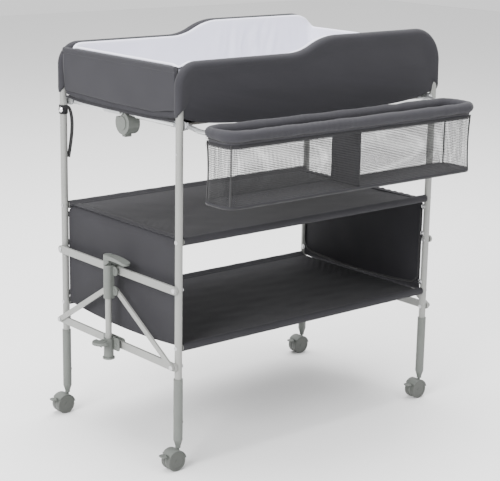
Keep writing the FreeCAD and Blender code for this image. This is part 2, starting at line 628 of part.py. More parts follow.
def basket_divider():
    """Upright panel that splits the bag into two compartments."""
    grow = BAG_OUT - BAG_WALL - GAP
    return block((-DIVIDER_HALF, DIVIDER_HALF), (RIM_FRONT - grow, RIM_REAR + grow),
                 (BAG_BOTTOM + BAG_FLOOR + GAP, RIM_Z - RIM_R - 12))


def storage_strap():
    """Webbing strap round the left rear leg with its tail hanging down."""
    ends = (-LEG_X, LEG_Y, STRAP_Z), (-LEG_X, LEG_Y, STRAP_Z + STRAP_WIDE)
    band = cylinder(*ends, TUBE_R + 2.3).cut(cylinder(*ends, TUBE_R + 0.4))
    face = -LEG_X + TUBE_R + 1
    tail = block((face, face + 1.5), (LEG_Y - 4, LEG_Y + 8), (STRAP_Z - 100, STRAP_Z + 10))
    return fused([band, tail])


# ---- build ----
def build_frames():
    hoop, tubes, fasteners = frame_pieces()
    brackets = both_ends(rail_bracket())
    for name, turn in (("rear", lambda s: s), ("front", mirror_y)):
        save(name + "_hoop", [turn(hoop)])
        save(name + "_shelf_rails", [turn(tube) for tube in tubes])
        save(name + "_fasteners", [turn(piece) for piece in fasteners])
        save(name + "_rail_brackets", [turn(piece) for piece in brackets])
        save(name + "_wall", [turn(wall_panel())])
    save("storage_strap", [storage_strap()])
    save("end_walls", [end_wall(END_WALL_TOPS[0]), mirror_x(end_wall(END_WALL_TOPS[1]))])
    save("end_panels", both_ends(end_panel()))


def build_linkages():
    for name, z in (("upper", UPPER_BAR_Z), ("lower", LOWER_BAR_Z)):
        bars = both_ends(crossbar(z))
        save(name + "_rear_bars", bars)
        save(name + "_front_bars", [mirror_y(bar) for bar in bars])
    diagonals = both_ends(diagonal())
    save("rear_diagonals", diagonals)
    save("front_diagonals", [mirror_y(bar) for bar in diagonals])
    save("post_tubes", both_ends(post_tube()))
    save("post_hubs", both_ends(upper_hub()) + both_ends(handle_pin()))
    save("post_brackets", both_ends(lower_bracket()))
    save("sliding_hubs", both_ends(sliding_hub()))
    save("left_handle", [handle()])
    save("right_handle", [mirror_x(handle())])
    save("left_pedal", [pedal()])
    save("right_pedal", [mirror_x(pedal())])


def build_platform():
    save("rear_rails", both_ends(rear_rail()))
    save("front_rails", both_ends(front_rail()))
    save("hinge_housings", both_ends(hinge_housing()))
    save("rear_board", [platform_board(1)])
    save("front_board", [platform_board(-1)])
    save("pad", [block((-PAD_X, PAD_X), (-PAD_Y, PAD_Y), PAD_Z)])
    for name, z in (("upper", UPPER_SHELF_Z), ("lower", LOWER_SHELF_Z)):
        save(name + "_shelf_rear", [shelf_leaf(z, 1)])
        save(name + "_shelf_front", [shelf_leaf(z, -1)])


def build_legs():
    for name, shape in at_corners(sleeve(), facing_in=True).items():
        save(name + "_sleeve", [shape])
    for name, shape in at_corners(button(), facing_in=True).items():
        save(name + "_button", [shape])
    for name, shape in at_corners(caster_fork()).items():
        save(name + "_caster", [shape])
    for name, shape in at_corners(wheel_pair()).items():
        save(name + "_wheels", [shape])
    for name, shape in at_corners(brake_lever()).items():
        save(name + "_brake", [shape])


def build_basket():
    save("basket_arms", both_ends(basket_arm()))
    save("basket_rim", [basket_rim()])
    save("basket_bag", [basket_bag(), basket_divider()])


build_frames()
build_linkages()
build_platform()
build_legs()
build_basket()
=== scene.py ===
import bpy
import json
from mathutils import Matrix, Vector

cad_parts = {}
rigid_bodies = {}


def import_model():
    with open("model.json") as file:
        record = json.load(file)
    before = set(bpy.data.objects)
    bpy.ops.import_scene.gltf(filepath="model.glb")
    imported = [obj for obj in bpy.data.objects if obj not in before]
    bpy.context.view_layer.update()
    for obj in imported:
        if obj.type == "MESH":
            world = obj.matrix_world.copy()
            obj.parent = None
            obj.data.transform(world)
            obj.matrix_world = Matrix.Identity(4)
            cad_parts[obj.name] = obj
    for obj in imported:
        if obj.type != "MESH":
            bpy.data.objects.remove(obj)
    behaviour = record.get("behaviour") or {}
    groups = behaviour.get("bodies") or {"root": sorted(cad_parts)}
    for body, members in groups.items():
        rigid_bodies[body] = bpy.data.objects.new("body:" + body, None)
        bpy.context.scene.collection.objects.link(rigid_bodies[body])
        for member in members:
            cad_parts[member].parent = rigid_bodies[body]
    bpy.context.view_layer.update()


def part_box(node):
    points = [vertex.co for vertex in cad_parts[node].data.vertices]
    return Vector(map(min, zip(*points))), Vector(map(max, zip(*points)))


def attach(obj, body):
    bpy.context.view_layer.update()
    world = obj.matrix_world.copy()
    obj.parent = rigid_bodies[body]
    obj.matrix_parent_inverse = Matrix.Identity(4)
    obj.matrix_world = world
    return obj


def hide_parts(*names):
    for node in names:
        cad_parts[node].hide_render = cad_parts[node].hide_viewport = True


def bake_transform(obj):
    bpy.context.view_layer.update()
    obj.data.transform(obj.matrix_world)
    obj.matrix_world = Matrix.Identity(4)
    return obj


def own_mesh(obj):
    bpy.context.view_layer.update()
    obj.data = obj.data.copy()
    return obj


bl_info = {
    "name": "Folding changing table",
    "version": (1, 0, 0),
    "blender": (4, 5, 0),
    "location": "3D View > Sidebar > Changing table",
    "description": "Soft goods, trims and finishes of a folding changing table",
    "category": "Object",
}

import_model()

import json
import math

import bmesh
import bpy
import numpy as np
from bpy.props import FloatProperty, FloatVectorProperty, PointerProperty
from mathutils import Matrix


# ---- places, read from the frame (metres) ----
def centre(node, axis):
    low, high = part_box(node)
    return (low[axis] + high[axis]) / 2


TUBE_R = 0.008
REAR_Y = centre("rear_hoop", 1)
FRONT_Y = centre("front_hoop", 1)
MID_Y = (REAR_Y + FRONT_Y) / 2
HALF_Y = (REAR_Y - FRONT_Y) / 2
LEG_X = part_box("rear_hoop")[1][0] - TUBE_R
HIGH_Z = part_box("rear_hoop")[1][2] - TUBE_R      # tube centre, high part of the hoop
LOW_Z = HIGH_Z - 0.032                           # and low part
RISE = (-0.080, 0.055)                           # where the top rises, along X
LEFT_BEND, RIGHT_BEND = 0.040, 0.069
HEM_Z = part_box("rear_wall")[0][2]
PAD_LOW, PAD_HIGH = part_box("pad")
RAIL_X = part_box("rear_board")[1][0]
SHELF_TOP = {level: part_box(level + "_shelf_rear")[1][2] for level in ("upper", "lower")}
SHELF_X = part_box("upper_shelf_rear")[1][0]
SHELF_PIVOT_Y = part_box("upper_shelf_rear")[1][1]
SHELF_TUBE_R = 0.007
RIM_LOW, RIM_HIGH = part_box("basket_rim")
BAG_LOW, BAG_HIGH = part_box("basket_bag")
RIM_R = (RIM_HIGH[2] - RIM_LOW[2]) / 2
BAG_CORNER = 0.028
ZIP_Z = BAG_HIGH[2] - 0.0005
END_WALL_OUT = 0.0068                            # end wall's outer face outside the legs' centre line
END_WALL_ROLL = 0.0052                           # radius of its top edge
WALL_SEAM_OUT = 0.0102                         # long wall's seam outside its tube's centre line
PANEL_SCREW_Z = (0.477, 0.411, 0.291)
PAD_CHANNELS_X, PAD_CHANNELS_Y = (-0.17, 0.0, 0.17), (-0.065, 0.065)
STRAP_WIDTH = 0.020
CAMERA_PLACE = (-2.10035, -2.43721, 1.2250)
CAMERA_RIGHT = (0.768675, -0.639420, 0.016764)
CAMERA_UP = (0.143269, 0.197653, 0.969746)
CAMERA_BACK = (-0.623389, -0.743017, 0.243540)
LENS, SENSOR = 103.42, 36.0                      # millimetres


# ---- settings ----
class TableSizes(bpy.types.PropertyGroup):
    cover_thickness: FloatProperty(name="Cover thickness", description="Padded cloth over the tube",
                                   default=0.003, min=0.001, max=0.006, unit="LENGTH")
    net_pitch: FloatProperty(name="Net pitch", description="Distance between the basket net's holes",
                             default=0.0036, min=0.002, max=0.008, unit="LENGTH")
    net_hole: FloatProperty(name="Net hole share", description="Hole width over the net's pitch",
                            default=0.78, min=0.3, max=0.83, subtype="FACTOR")
    stitch_pitch: FloatProperty(name="Stitch pitch", description="Distance from one stitch to the next",
                                default=0.005, min=0.002, max=0.01, unit="LENGTH")


def colour(name, description, value):
    return FloatVectorProperty(name=name, description=description, default=value, subtype="COLOR",
                               size=3, min=0, max=1)


class TableColours(bpy.types.PropertyGroup):
    frame_paint: colour("Frame paint", "Painted tubes and bars", (0.215, 0.218, 0.208))
    hub_plastic: colour("Hub plastic", "Hubs and leg sleeves", (0.105, 0.113, 0.104))
    wheel_plastic: colour("Wheel plastic", "Caster wheels", (0.062, 0.066, 0.060))
    outer_cloth: colour("Outer cloth", "Tub walls and basket rim", (0.0225, 0.0220, 0.0262))
    shelf_cloth: colour("Shelf cloth", "Shelves and end panels", (0.0185, 0.0180, 0.0212))
    liner_cloth: colour("Liner cloth", "Inside of the tub and pad", (0.66, 0.66, 0.76))
    trim: colour("Trim", "Net, piping and webbing", (0.012, 0.012, 0.013))


# ---- mesh making ----
def new_object(name, vertices, faces, uv=None):
    """Mesh object from vertex rows, face rows and one (u, v) pair for each vertex, shaded smooth."""
    mesh = bpy.data.meshes.new(name)
    mesh.from_pydata(np.asarray(vertices, float).tolist(), [], np.asarray(faces).tolist())
    if uv is not None:
        layer = mesh.uv_layers.new(name="cloth")
        corner = np.zeros(len(mesh.loops), np.int32)
        mesh.loops.foreach_get("vertex_index", corner)
        layer.data.foreach_set("uv", np.asarray(uv, float)[corner].ravel())
    mesh.shade_smooth()
    item = bpy.data.objects.new(name, mesh)
    bpy.context.scene.collection.objects.link(item)
    return item


def grid_faces(rows, columns, close_rows=False, close_columns=False):
    """Quads of a rows x columns grid of vertices; a closed direction joins its last line to its first."""
    i = np.arange(rows if close_rows else rows - 1)
    j = np.arange(columns if close_columns else columns - 1)
    i, j = [a.ravel() for a in np.meshgrid(i, j, indexing="ij")]
    up, over = (i + 1) % rows, (j + 1) % columns
    return np.stack([i * columns + j, up * columns + j, up * columns + over, i * columns + over], 1)


def metres_along(points, axis):
    """Distance run along one axis of a grid of points, from its first line."""
    step = np.linalg.norm(np.diff(points, axis=axis), axis=2)
    first = np.zeros_like(np.take(step, [0], axis=axis))
    return np.concatenate([first, np.cumsum(step, axis=axis)], axis=axis)


def surface(name, points, close_rows=False, close_columns=False):
    """Smooth surface through a grid of points, with its own UV map in metres."""
    points = np.asarray(points, float)
    rows, columns = points.shape[:2]
    uv = np.stack([metres_along(points, 0), metres_along(points, 1)], 2).reshape(-1, 2)
    return new_object(name, points.reshape(-1, 3), grid_faces(rows, columns, close_rows, close_columns), uv)


def tidy_shell(item, merge=True):
    """Merge doubled vertices and drop flat faces if asked, and turn each closed island's faces outwards."""
    work = bmesh.new()
    work.from_mesh(item.data)
    if merge:
        bmesh.ops.remove_doubles(work, verts=work.verts, dist=1e-5)
        bmesh.ops.dissolve_degenerate(work, edges=work.edges, dist=1e-6)
    bmesh.ops.recalc_face_normals(work, faces=work.faces)
    work.to_mesh(item.data)
    work.free()
    return item


def joined(name, items):
    """One object from several."""
    with bpy.context.temp_override(active_object=items[0], selected_editable_objects=items,
                                   selected_objects=items):
        bpy.ops.object.join()
    items[0].name = name
    items[0].data.name = name
    return items[0]


def modified(item, kind, **settings):
    """Add one modifier with these settings."""
    modifier = item.modifiers.new(kind.title(), kind)
    for key, value in settings.items():
        setattr(modifier, key, value)
    return item


def apply_modifiers(item):
    """Keep what the modifiers make as the mesh itself."""
    bpy.context.view_layer.update()
    shown = item.evaluated_get(bpy.context.evaluated_depsgraph_get())
    mesh = bpy.data.meshes.new_from_object(shown)
    item.modifiers.clear()
    item.data = mesh
    return item


def thick(item, width, offset=0.0):
    """Cloth thickness on an open sheet."""
    modified(item, "SOLIDIFY", thickness=width, offset=offset)
    return apply_modifiers(item)


def ripple(a, b, scale, seed):
    """Soft wrinkles: the mean of eight sine waves of mixed directions, with wavelengths around scale."""
    pick = np.random.default_rng(seed)
    total = np.zeros(np.broadcast(a, b).shape)
    turns, sizes, phases = pick.uniform(0, math.pi, 8), pick.uniform(0.6, 1.7, 8), pick.uniform(0, 6.3, 8)
    for turn, size, phase in zip(turns, sizes, phases):
        total += np.sin((a * math.cos(turn) + b * math.sin(turn)) * 2 * math.pi / (scale * size) + phase)
    return total / 8


def ease(value, start, end):
    """0 before start, 1 after end, smooth between them."""
    t = np.clip((value - start) / (end - start), 0, 1)
    return t * t * (3 - 2 * t)


def tube_along(name, path, radius, sides=12, closed=False):
    """Round bar along a path: a ring in the plane of each point's normal and binormal."""
    path = np.asarray(path, float)
    if closed:
        ahead = np.roll(path, -1, 0) - np.roll(path, 1, 0)
    else:
        ahead = np.gradient(path, axis=0)
    ahead /= np.linalg.norm(ahead, axis=1, keepdims=True)
    up = np.where(np.abs(ahead[:, 2:3]) > 0.9, [[0.0, 1.0, 0.0]], [[0.0, 0.0, 1.0]])
    side = np.cross(ahead, up)
    side /= np.linalg.norm(side, axis=1, keepdims=True)
    top = np.cross(side, ahead)
    turn = np.linspace(0, 2 * math.pi, sides, endpoint=False)
    ring = side[:, None] * np.cos(turn)[None, :, None] + top[:, None] * np.sin(turn)[None, :, None]
    radius = np.broadcast_to(np.asarray(radius, float), len(path))
    points = path[:, None] + ring * radius[:, None, None]
    if not closed:
        points = np.concatenate([path[:1, None].repeat(sides, 1), points, path[-1:, None].repeat(sides, 1)])
    return tidy_shell(surface(name, points, closed, True))


def stitches(name, path, facing, pitch, width=0.0007):
    """Row of stitches along a path: low four-sided spindles, lifted along the facing direction."""
    path = np.asarray(path, float)
    run = np.concatenate([[0], np.cumsum(np.linalg.norm(np.diff(path, axis=0), axis=1))])
    count = max(int(run[-1] / pitch), 1)
    starts = (np.arange(count) + 0.15) * pitch
    ends = starts + 0.62 * pitch
    a = np.stack([np.interp(starts, run, path[:, k]) for k in range(3)], 1)
    b = np.stack([np.interp(ends, run, path[:, k]) for k in range(3)], 1)
    ahead = b - a
    ahead /= np.linalg.norm(ahead, axis=1, keepdims=True)
    lift = np.broadcast_to(np.asarray(facing, float), a.shape)
    side = np.cross(ahead, lift)
    middle = (a + b) / 2
    corners = np.stack([a, middle + side * width / 2, b, middle - side * width / 2,
                        middle + lift * width * 0.7, middle - lift * width * 0.2], 1)
    faces = np.array([[0, 1, 4], [1, 2, 4], [2, 3, 4], [3, 0, 4], [1, 0, 5], [2, 1, 5], [3, 2, 5], [0, 3, 5]])
    faces = (faces[None] + np.arange(count)[:, None, None] * 6).reshape(-1, 3)
    return tidy_shell(new_object(name, corners.reshape(-1, 3), faces), merge=False)


def capped(name, points):
    """Closed shell from a closed section carried along the columns, each end drawn to its middle."""
    middle = points.mean(0, keepdims=True)
    first, last = [np.broadcast_to(end, (len(points), 1, 3)) for end in (middle[:, :1], middle[:, -1:])]
    return tidy_shell(surface(name, np.concatenate([first, points, last], 1), close_rows=True))


def lathe(name, profile, sides):
    """Round piece about Z: (radius, height) pairs from the top's centre round to the bottom's centre."""
    profile = np.asarray(profile, float)
    turn = np.linspace(0, 2 * math.pi, sides, endpoint=False)
    points = np.stack([profile[:, :1] * np.cos(turn), profile[:, :1] * np.sin(turn),
                       np.broadcast_to(profile[:, 1:], (len(profile), sides))], 2)
    return tidy_shell(surface(name, points, close_columns=True))


def axes_at(side, up, away, place):
    """Matrix with these three axes at a place."""
    return Matrix(np.vstack([np.column_stack([side, up, away, place]), [0, 0, 0, 1]]).tolist())


def facing_from(facing, place):
    """Matrix that points Z along a direction from a place, with X level."""
    away = np.asarray(facing, float) / np.linalg.norm(facing)
    side = np.cross([0, 0, 1], away)
    side /= np.linalg.norm(side)
    return axes_at(side, np.cross(away, side), away, place)


def turn_to(item, facing, place):
    """Point a piece's Z at a direction and set it at a place, in its own mesh."""
    item.data.transform(facing_from(facing, place))
    item.data.update()
    return item


def rounded_loop(half_x, low_y, high_y, corner, per_long=60, per_short=14, per_corner=9):
    """Closed rounded rectangle in plan: rows of x, y and the outward normal."""
    spots = []
    turns = [(half_x, low_y, -90), (half_x, high_y, 0), (-half_x, high_y, 90), (-half_x, low_y, 180)]
    for (x, y, start), count in zip(turns, (per_short, per_long, per_short, per_long)):
        angle = np.radians(np.linspace(start, start + 90, per_corner))
        cx = x - math.copysign(corner, x)
        cy = y + corner if y == low_y else y - corner
        nx, ny = np.cos(angle), np.sin(angle)
        arc = np.stack([cx + corner * nx, cy + corner * ny, nx, ny], 1)
        spots.append((arc, count))
    rows = []
    for (arc, count), (following, _) in zip(spots, spots[1:] + spots[:1]):
        share = np.linspace(0, 1, count + 2)[1:-1, None]
        rows += [arc, arc[-1] * (1 - share) + following[0] * share]
    return np.concatenate(rows)


# ---- materials ----
def material(name, base, roughness, metallic=0.0, **sockets):
    """A new material with its main shader set, and its node tree."""
    made = bpy.data.materials.new(name)
    made.use_nodes = True
    shader = made.node_tree.nodes["Principled BSDF"]
    shader.inputs["Base Color"].default_value = (*base, 1)
    shader.inputs["Roughness"].default_value = roughness
    shader.inputs["Metallic"].default_value = metallic
    for key, value in sockets.items():
        shader.inputs[key.replace("_", " ")].default_value = value
    return made, made.node_tree, shader


def node(tree, kind, **values):
    """A node whose inputs are values or other sockets; properties start with a small p_."""
    made = tree.nodes.new("ShaderNode" + kind)
    for key, value in values.items():
        if key.startswith("p_"):
            setattr(made, key[2:], value)
            continue
        socket = made.inputs[int(key[2:])] if key.startswith("i_") else made.inputs[key.replace("_", " ")]
        if isinstance(value, bpy.types.NodeSocket):
            tree.links.new(value, socket)
        else:
            socket.default_value = value
    return made


def tinted(tree, shader, base, amount, scale, coordinates):
    """Vary the base colour with a cloudy pattern, and give the colour back."""
    cloud = node(tree, "TexNoise", Vector=coordinates, Scale=scale, Detail=4.0, Roughness=0.6)
    ramp = node(tree, "ValToRGB", Fac=cloud.outputs[0])
    for stop, place, share in zip(ramp.color_ramp.elements, (0.3, 0.7), (1 - amount, 1 + amount)):
        stop.position = place
        stop.color = (*(min(c * share, 1) for c in base), 1)
    tree.links.new(ramp.outputs[0], shader.inputs["Base Color"])
    return ramp.outputs[0]


def bumped(tree, shader, height, strength, distance):
    bump = node(tree, "Bump", Height=height, Strength=strength, Distance=distance)
    tree.links.new(bump.outputs[0], shader.inputs["Normal"])


def woven_cloth(name, base, thread, roughness=0.85, sheen=0.08, strength=0.35):
    """Plain weave on the piece's own UV map, in metres: warp and weft ridges swap in a checker."""
    made, tree, shader = material(name, base, roughness, Sheen_Weight=sheen, Sheen_Roughness=0.45,
                                  Specular_IOR_Level=0.25)
    uv = node(tree, "UVMap", p_uv_map="cloth").outputs[0]
    threads = 1 / thread
    scaled = node(tree, "VectorMath", i_0=uv, i_1=(threads,) * 3, p_operation="MULTIPLY").outputs[0]
    split = node(tree, "SeparateXYZ", Vector=scaled)
    ridges = []
    for axis in (0, 1):
        angle = node(tree, "Math", i_0=split.outputs[axis], i_1=math.pi, p_operation="MULTIPLY")
        wave = node(tree, "Math", i_0=angle.outputs[0], p_operation="SINE")
        ridges.append(node(tree, "Math", i_0=wave.outputs[0], p_operation="ABSOLUTE").outputs[0])
    checker = node(tree, "TexChecker", Vector=scaled, Scale=1.0)
    height = node(tree, "Mix", i_0=checker.outputs[1], i_2=ridges[0], i_3=ridges[1]).outputs[0]
    clouds = tinted(tree, shader, base, 0.10, 9.0, uv)
    fleck = node(tree, "TexNoise", Vector=uv, Scale=1400.0, Detail=2.0).outputs[0]
    mixed = node(tree, "Mix", p_data_type="RGBA", p_blend_type="OVERLAY", i_0=0.28, i_6=clouds, i_7=fleck)
    tree.links.new(mixed.outputs[2], shader.inputs["Base Color"])
    bumped(tree, shader, height, strength, thread * 0.4)
    return made


def brushed_liner(name, base):
    """Soft brushed knit: fine short pile and faint broad clouding, on the piece's own UV map."""
    made, tree, shader = material(name, base, 0.95, Sheen_Weight=0.35, Sheen_Roughness=0.6,
                                  Specular_IOR_Level=0.15)
    uv = node(tree, "UVMap", p_uv_map="cloth").outputs[0]
    tinted(tree, shader, base, 0.03, 7.0, uv)
    pile = node(tree, "TexNoise", Vector=uv, Scale=900.0, Detail=4.0, Roughness=0.7).outputs[0]
    bumped(tree, shader, pile, 0.22, 0.0006)
    return made


def grained(name, base, roughness, tint, grain, metallic=0.0, **sockets):
    """Finish on Object coordinates: tint gives the clouds' amount and scale, grain the bump's noise."""
    made, tree, shader = material(name, base, roughness, metallic, **sockets)
    where = node(tree, "TexCoord").outputs["Object"]
    tinted(tree, shader, base, *tint, where)
    scale, detail, strength, depth = grain
    fine = node(tree, "TexNoise", Vector=where, Scale=scale, Detail=detail).outputs[0]
    bumped(tree, shader, fine, strength, depth)
    return made, tree, shader, where


def painted_metal(name, base):
    """Powder coat: faint orange peel, small wear marks that are a little smoother."""
    made, tree, shader, where = grained(name, base, 0.42, (0.03, 25.0), (1500.0, 2.0, 0.10, 0.0003),
                                        Coat_Weight=0.15, Coat_Roughness=0.35)
    spread = node(tree, "TexNoise", Vector=where, Scale=60.0, Detail=6.0).outputs[0]
    rough = node(tree, "MapRange", Value=spread, From_Min=0.3, From_Max=0.7, To_Min=0.36, To_Max=0.50)
    tree.links.new(rough.outputs[0], shader.inputs["Roughness"])
    return made


def moulded_plastic(name, base):
    """Satin moulded plastic: fine spark-eroded grain and slow colour drift."""
    return grained(name, base, 0.46, (0.05, 30.0), (2600.0, 3.0, 0.16, 0.0003), Specular_IOR_Level=0.45)[0]


def zinc_plate(name, base, roughness):
    """Zinc-plated steel: cell-like spangle in brightness and roughness, fine drawn lines."""
    made, tree, shader, where = grained(name, base, roughness, (0.07, 90.0), (900.0, 2.0, 0.08, 0.0002), 1.0)
    cells = node(tree, "TexVoronoi", Vector=where, Scale=260.0)
    shade = node(tree, "MapRange", Value=cells.outputs["Distance"], To_Min=roughness - 0.08,
                 To_Max=roughness + 0.12)
    tree.links.new(shade.outputs[0], shader.inputs["Roughness"])
    return made


def thread_black(name, base):
    """Twisted thread and tape: fine diagonal ribs on Object coordinates."""
    made, tree, shader = material(name, base, 0.7, Sheen_Weight=0.2, Specular_IOR_Level=0.3)
    where = node(tree, "TexCoord").outputs["Object"]
    ribs = node(tree, "TexWave", Vector=where, Scale=350.0, Distortion=1.0, p_bands_direction="DIAGONAL")
    tinted(tree, shader, base, 0.2, 200.0, where)
    bumped(tree, shader, ribs.outputs[1], 0.3, 0.0003)
    return made


MATERIALS = {}


def make_materials():
    """All finishes, by the name of the part that wears them."""
    c = bpy.context.scene.table_colours
    lighter = tuple(min(v * 1.15, 1) for v in c.outer_cloth)
    MATERIALS.update(
        paint=painted_metal("powder coated tube", c.frame_paint),
        plastic=moulded_plastic("satin moulded plastic", c.hub_plastic),
        wheel=moulded_plastic("wheel plastic", c.wheel_plastic),
        zinc=zinc_plate("zinc plated steel", (0.62, 0.63, 0.64), 0.36),
        rivet=zinc_plate("rivet steel", (0.50, 0.50, 0.51), 0.34),
        outer=woven_cloth("charcoal tub cloth", c.outer_cloth, 0.0007),
        roll=woven_cloth("charcoal rim cloth", lighter, 0.0007),
        shelf=woven_cloth("charcoal shelf cloth", c.shelf_cloth, 0.0009, roughness=0.80, sheen=0.04),
        liner=brushed_liner("brushed white liner", c.liner_cloth),
        net=thread_black("black net thread", c.trim),
        trim=thread_black("black piping", c.trim),
        webbing=woven_cloth("black webbing", c.trim, 0.0016, strength=0.6),
        board=moulded_plastic("platform board", (0.16, 0.15, 0.14)),
        stitch=thread_black("charcoal stitching", (0.07, 0.07, 0.075)),
        chrome=material("bright snap", (0.75, 0.75, 0.76), 0.18, 1.0)[0],
    )


def finish_piece(item, body, finish, replaced=()):
    """Dress a new piece, let it ride on its body, and let it stand for CAD nodes."""
    item.data.materials.clear()
    item.data.materials.append(MATERIALS[finish])
    if body:
        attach(item, body)
    if replaced:
        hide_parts(*replaced)
    return item


def fold_with_frame(item):
    """Give a cloth piece its own copy of its mesh."""
    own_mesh(item)


# ---- tub ----
def arc(cx, cz, radius, start, end, count):
    angle = np.radians(np.linspace(start, end, count))
    return np.stack([cx + radius * np.cos(angle), cz + radius * np.sin(angle)], 1)


def straight(start, end, count):
    """Points between two ends, without the ends themselves."""
    share = np.linspace(0, 1, count + 2)[1:-1, None]
    return np.asarray(start) * (1 - share) + np.asarray(end) * share


def hoop_top(outset):
    """Outline of the hoop's upper part in (x, z), left corner to right corner, grown by outset.

    Corner arc, low straight, an S of two equal arcs that rises, high straight, corner arc.
    """
    low, high = LOW_Z + outset, HIGH_Z + outset
    half = math.atan2(HIGH_Z - LOW_Z, RISE[1] - RISE[0])
    bend = (RISE[1] - RISE[0]) / (2 * math.sin(2 * half))
    turn = math.degrees(2 * half)
    left = arc(-LEG_X + LEFT_BEND, LOW_Z - LEFT_BEND, LEFT_BEND + outset, 180, 90, 22)
    up = arc(RISE[0], LOW_Z + bend, bend - outset, 270, 270 + turn, 14)
    over = arc(RISE[1], HIGH_Z - bend, bend + outset, 90 + turn, 90, 14)[1:]
    right = arc(LEG_X - RIGHT_BEND, HIGH_Z - RIGHT_BEND, RIGHT_BEND + outset, 90, 0, 26)
    return np.concatenate([left, straight((left[-1][0], low), (RISE[0], low), 34), up, over,
                           straight((RISE[1], high), (right[0][0], high), 34), right])


def top_height(x, outset):
    """Height of the hoop's grown outline over x."""
    line = hoop_top(outset)
    return np.interp(x, line[:, 0], line[:, 1])


def wall_hem(x):
    """Lower edge of a long wall: lifted at the legs, a little lower between them."""
    share = np.minimum(np.abs(x / LEG_X), 1)
    return HEM_Z + 0.003 - 0.016 * (1 - share ** 8) - 0.012 * (1 - share ** 2)


def wall_cover(name, y, outward, seed):
    """Padded long wall, one closed shell over hoop and panel.

    Each point of the outline is joined to a line along the wall's middle; the distance from the outline
    sets the half thickness: a quarter circle over the tube, then an exponential fall to the flat panel.
    """
    skin = TUBE_R + bpy.context.scene.table_sizes.cover_thickness
    top = hoop_top(skin)
    edge_x = LEG_X + skin
    hem_x = np.linspace(edge_x, -edge_x, 130)
    left = straight((-edge_x, wall_hem(-edge_x)), top[0], 12)
    right = straight(top[-1], (edge_x, wall_hem(edge_x)), 12)
    outline = np.concatenate([left, top, right, np.stack([hem_x, wall_hem(hem_x)], 1)])
    on_hem = ease(outline[:, 1], HEM_Z + 0.010, HEM_Z + 0.003)
    inner_x = np.clip(outline[:, 0], -edge_x + 0.058, edge_x - 0.058)
    middle_z = (top_height(inner_x, skin) + wall_hem(inner_x)) / 2
    spine = np.stack([inner_x, middle_z], 1)
    share = np.concatenate([np.linspace(0, 0.25, 12) ** 1.6 * 2.0, np.linspace(0.3, 1, 9)])
    share = np.clip(np.concatenate([share[::-1], share[1:]]), 0, 1)
    side = np.concatenate([np.full(21, 1.0), np.full(20, -1.0)])
    spots = outline[:, None] + (spine - outline)[:, None] * share[None, :, None]
    depth = np.linalg.norm(spine - outline, axis=1)[:, None] * share[None]
    round_r = (skin * (1 - on_hem) + 0.0035 * on_hem)[:, None]
    near = np.clip(depth, 0, round_r)
    half = np.sqrt(np.maximum(round_r ** 2 - (round_r - near) ** 2, 0))
    panel = 0.0065
    fall = np.exp(-((depth - round_r) / 0.016) ** 2)
    half = np.where(depth > round_r, panel + (round_r - panel) * fall, half)
    wave = ripple(spots[..., 0], spots[..., 1] * 1.6, 0.16, seed) * 0.0016 * ease(depth, 0.012, 0.05)
    half = half + wave
    points = np.stack([spots[..., 0], y + outward * side[None] * half, spots[..., 1]], 2)
    return tidy_shell(surface(name, points, close_rows=True)), outline, spine


def wall_seam(name, outline, spine, y, outward, inset):
    """Stitches on a long wall's outer face, a fixed distance inside its outline."""
    run = spine - outline
    length = np.linalg.norm(run, axis=1, keepdims=True)
    at = outline + run / length * inset
    keep = outline[:, 1] > HEM_Z + 0.012
    at = at[keep]
    path = np.stack([at[:, 0], np.full(len(at), y + outward * WALL_SEAM_OUT), at[:, 1]], 1)
    return stitches(name, path, (0, outward, 0), bpy.context.scene.table_sizes.stitch_pitch)


def end_wall(name, side, top_z, seed):
    """Padded end wall, a closed loft along Y.

    Its section is a top roll of 5 mm radius over a 7 mm panel that thins to a 3 mm hem; the hem's height
    is a shallow sag that deepens towards the front.
    """
    along = np.linspace(-1, 1, 90)
    y = MID_Y + along * (HALF_Y - 0.0095)
    turn = np.linspace(0, math.pi, 11)
    roll = END_WALL_ROLL
    outer_x = LEG_X + END_WALL_OUT
    hem_z = HEM_Z + 0.0040 + 0.0045 * ease(along, 0, 1) + 0.0110 * ease(-along, 0.55, 1)
    down = np.linspace(0, 1, 26)
    fall = np.linspace(0, 1, 6)[1:-1]
    outside = [(outer_x - roll + roll * np.cos(t), top_z - roll + roll * np.sin(t)) for t in turn]
    rows = []
    for offset, z in outside:
        rows.append((np.full_like(y, offset), np.full_like(y, z)))
    inner_face = outer_x - 2 * roll + 0.0015
    for share in down[1:]:
        z = (top_z - roll) * (1 - share) + hem_z * share
        rows.append((inner_face - 0.0008 * share + 0 * y, z))
    for share in fall:
        under = hem_z - 0.0012 * math.sin(math.pi * share)
        rows.append((inner_face - 0.0008 + share * 0.0044 + 0 * y, under))
    for share in down[::-1]:
        z = (top_z - roll) * (1 - share) + hem_z * share
        step = 0.0016 * ease(np.full_like(y, share), 0.02, 0.10)
        tuck = 0.003 * share ** 3
        belly = 0.0013 * ripple(y, z * 1.5, 0.11, seed) * math.sin(math.pi * share)
        rows.append((outer_x - step - tuck + belly, z))
    x = np.stack([r[0] for r in rows])
    z = np.stack([r[1] for r in rows])
    points = np.stack([side * x, np.broadcast_to(y, x.shape), z], 2)
    return capped(name, points), y, hem_z


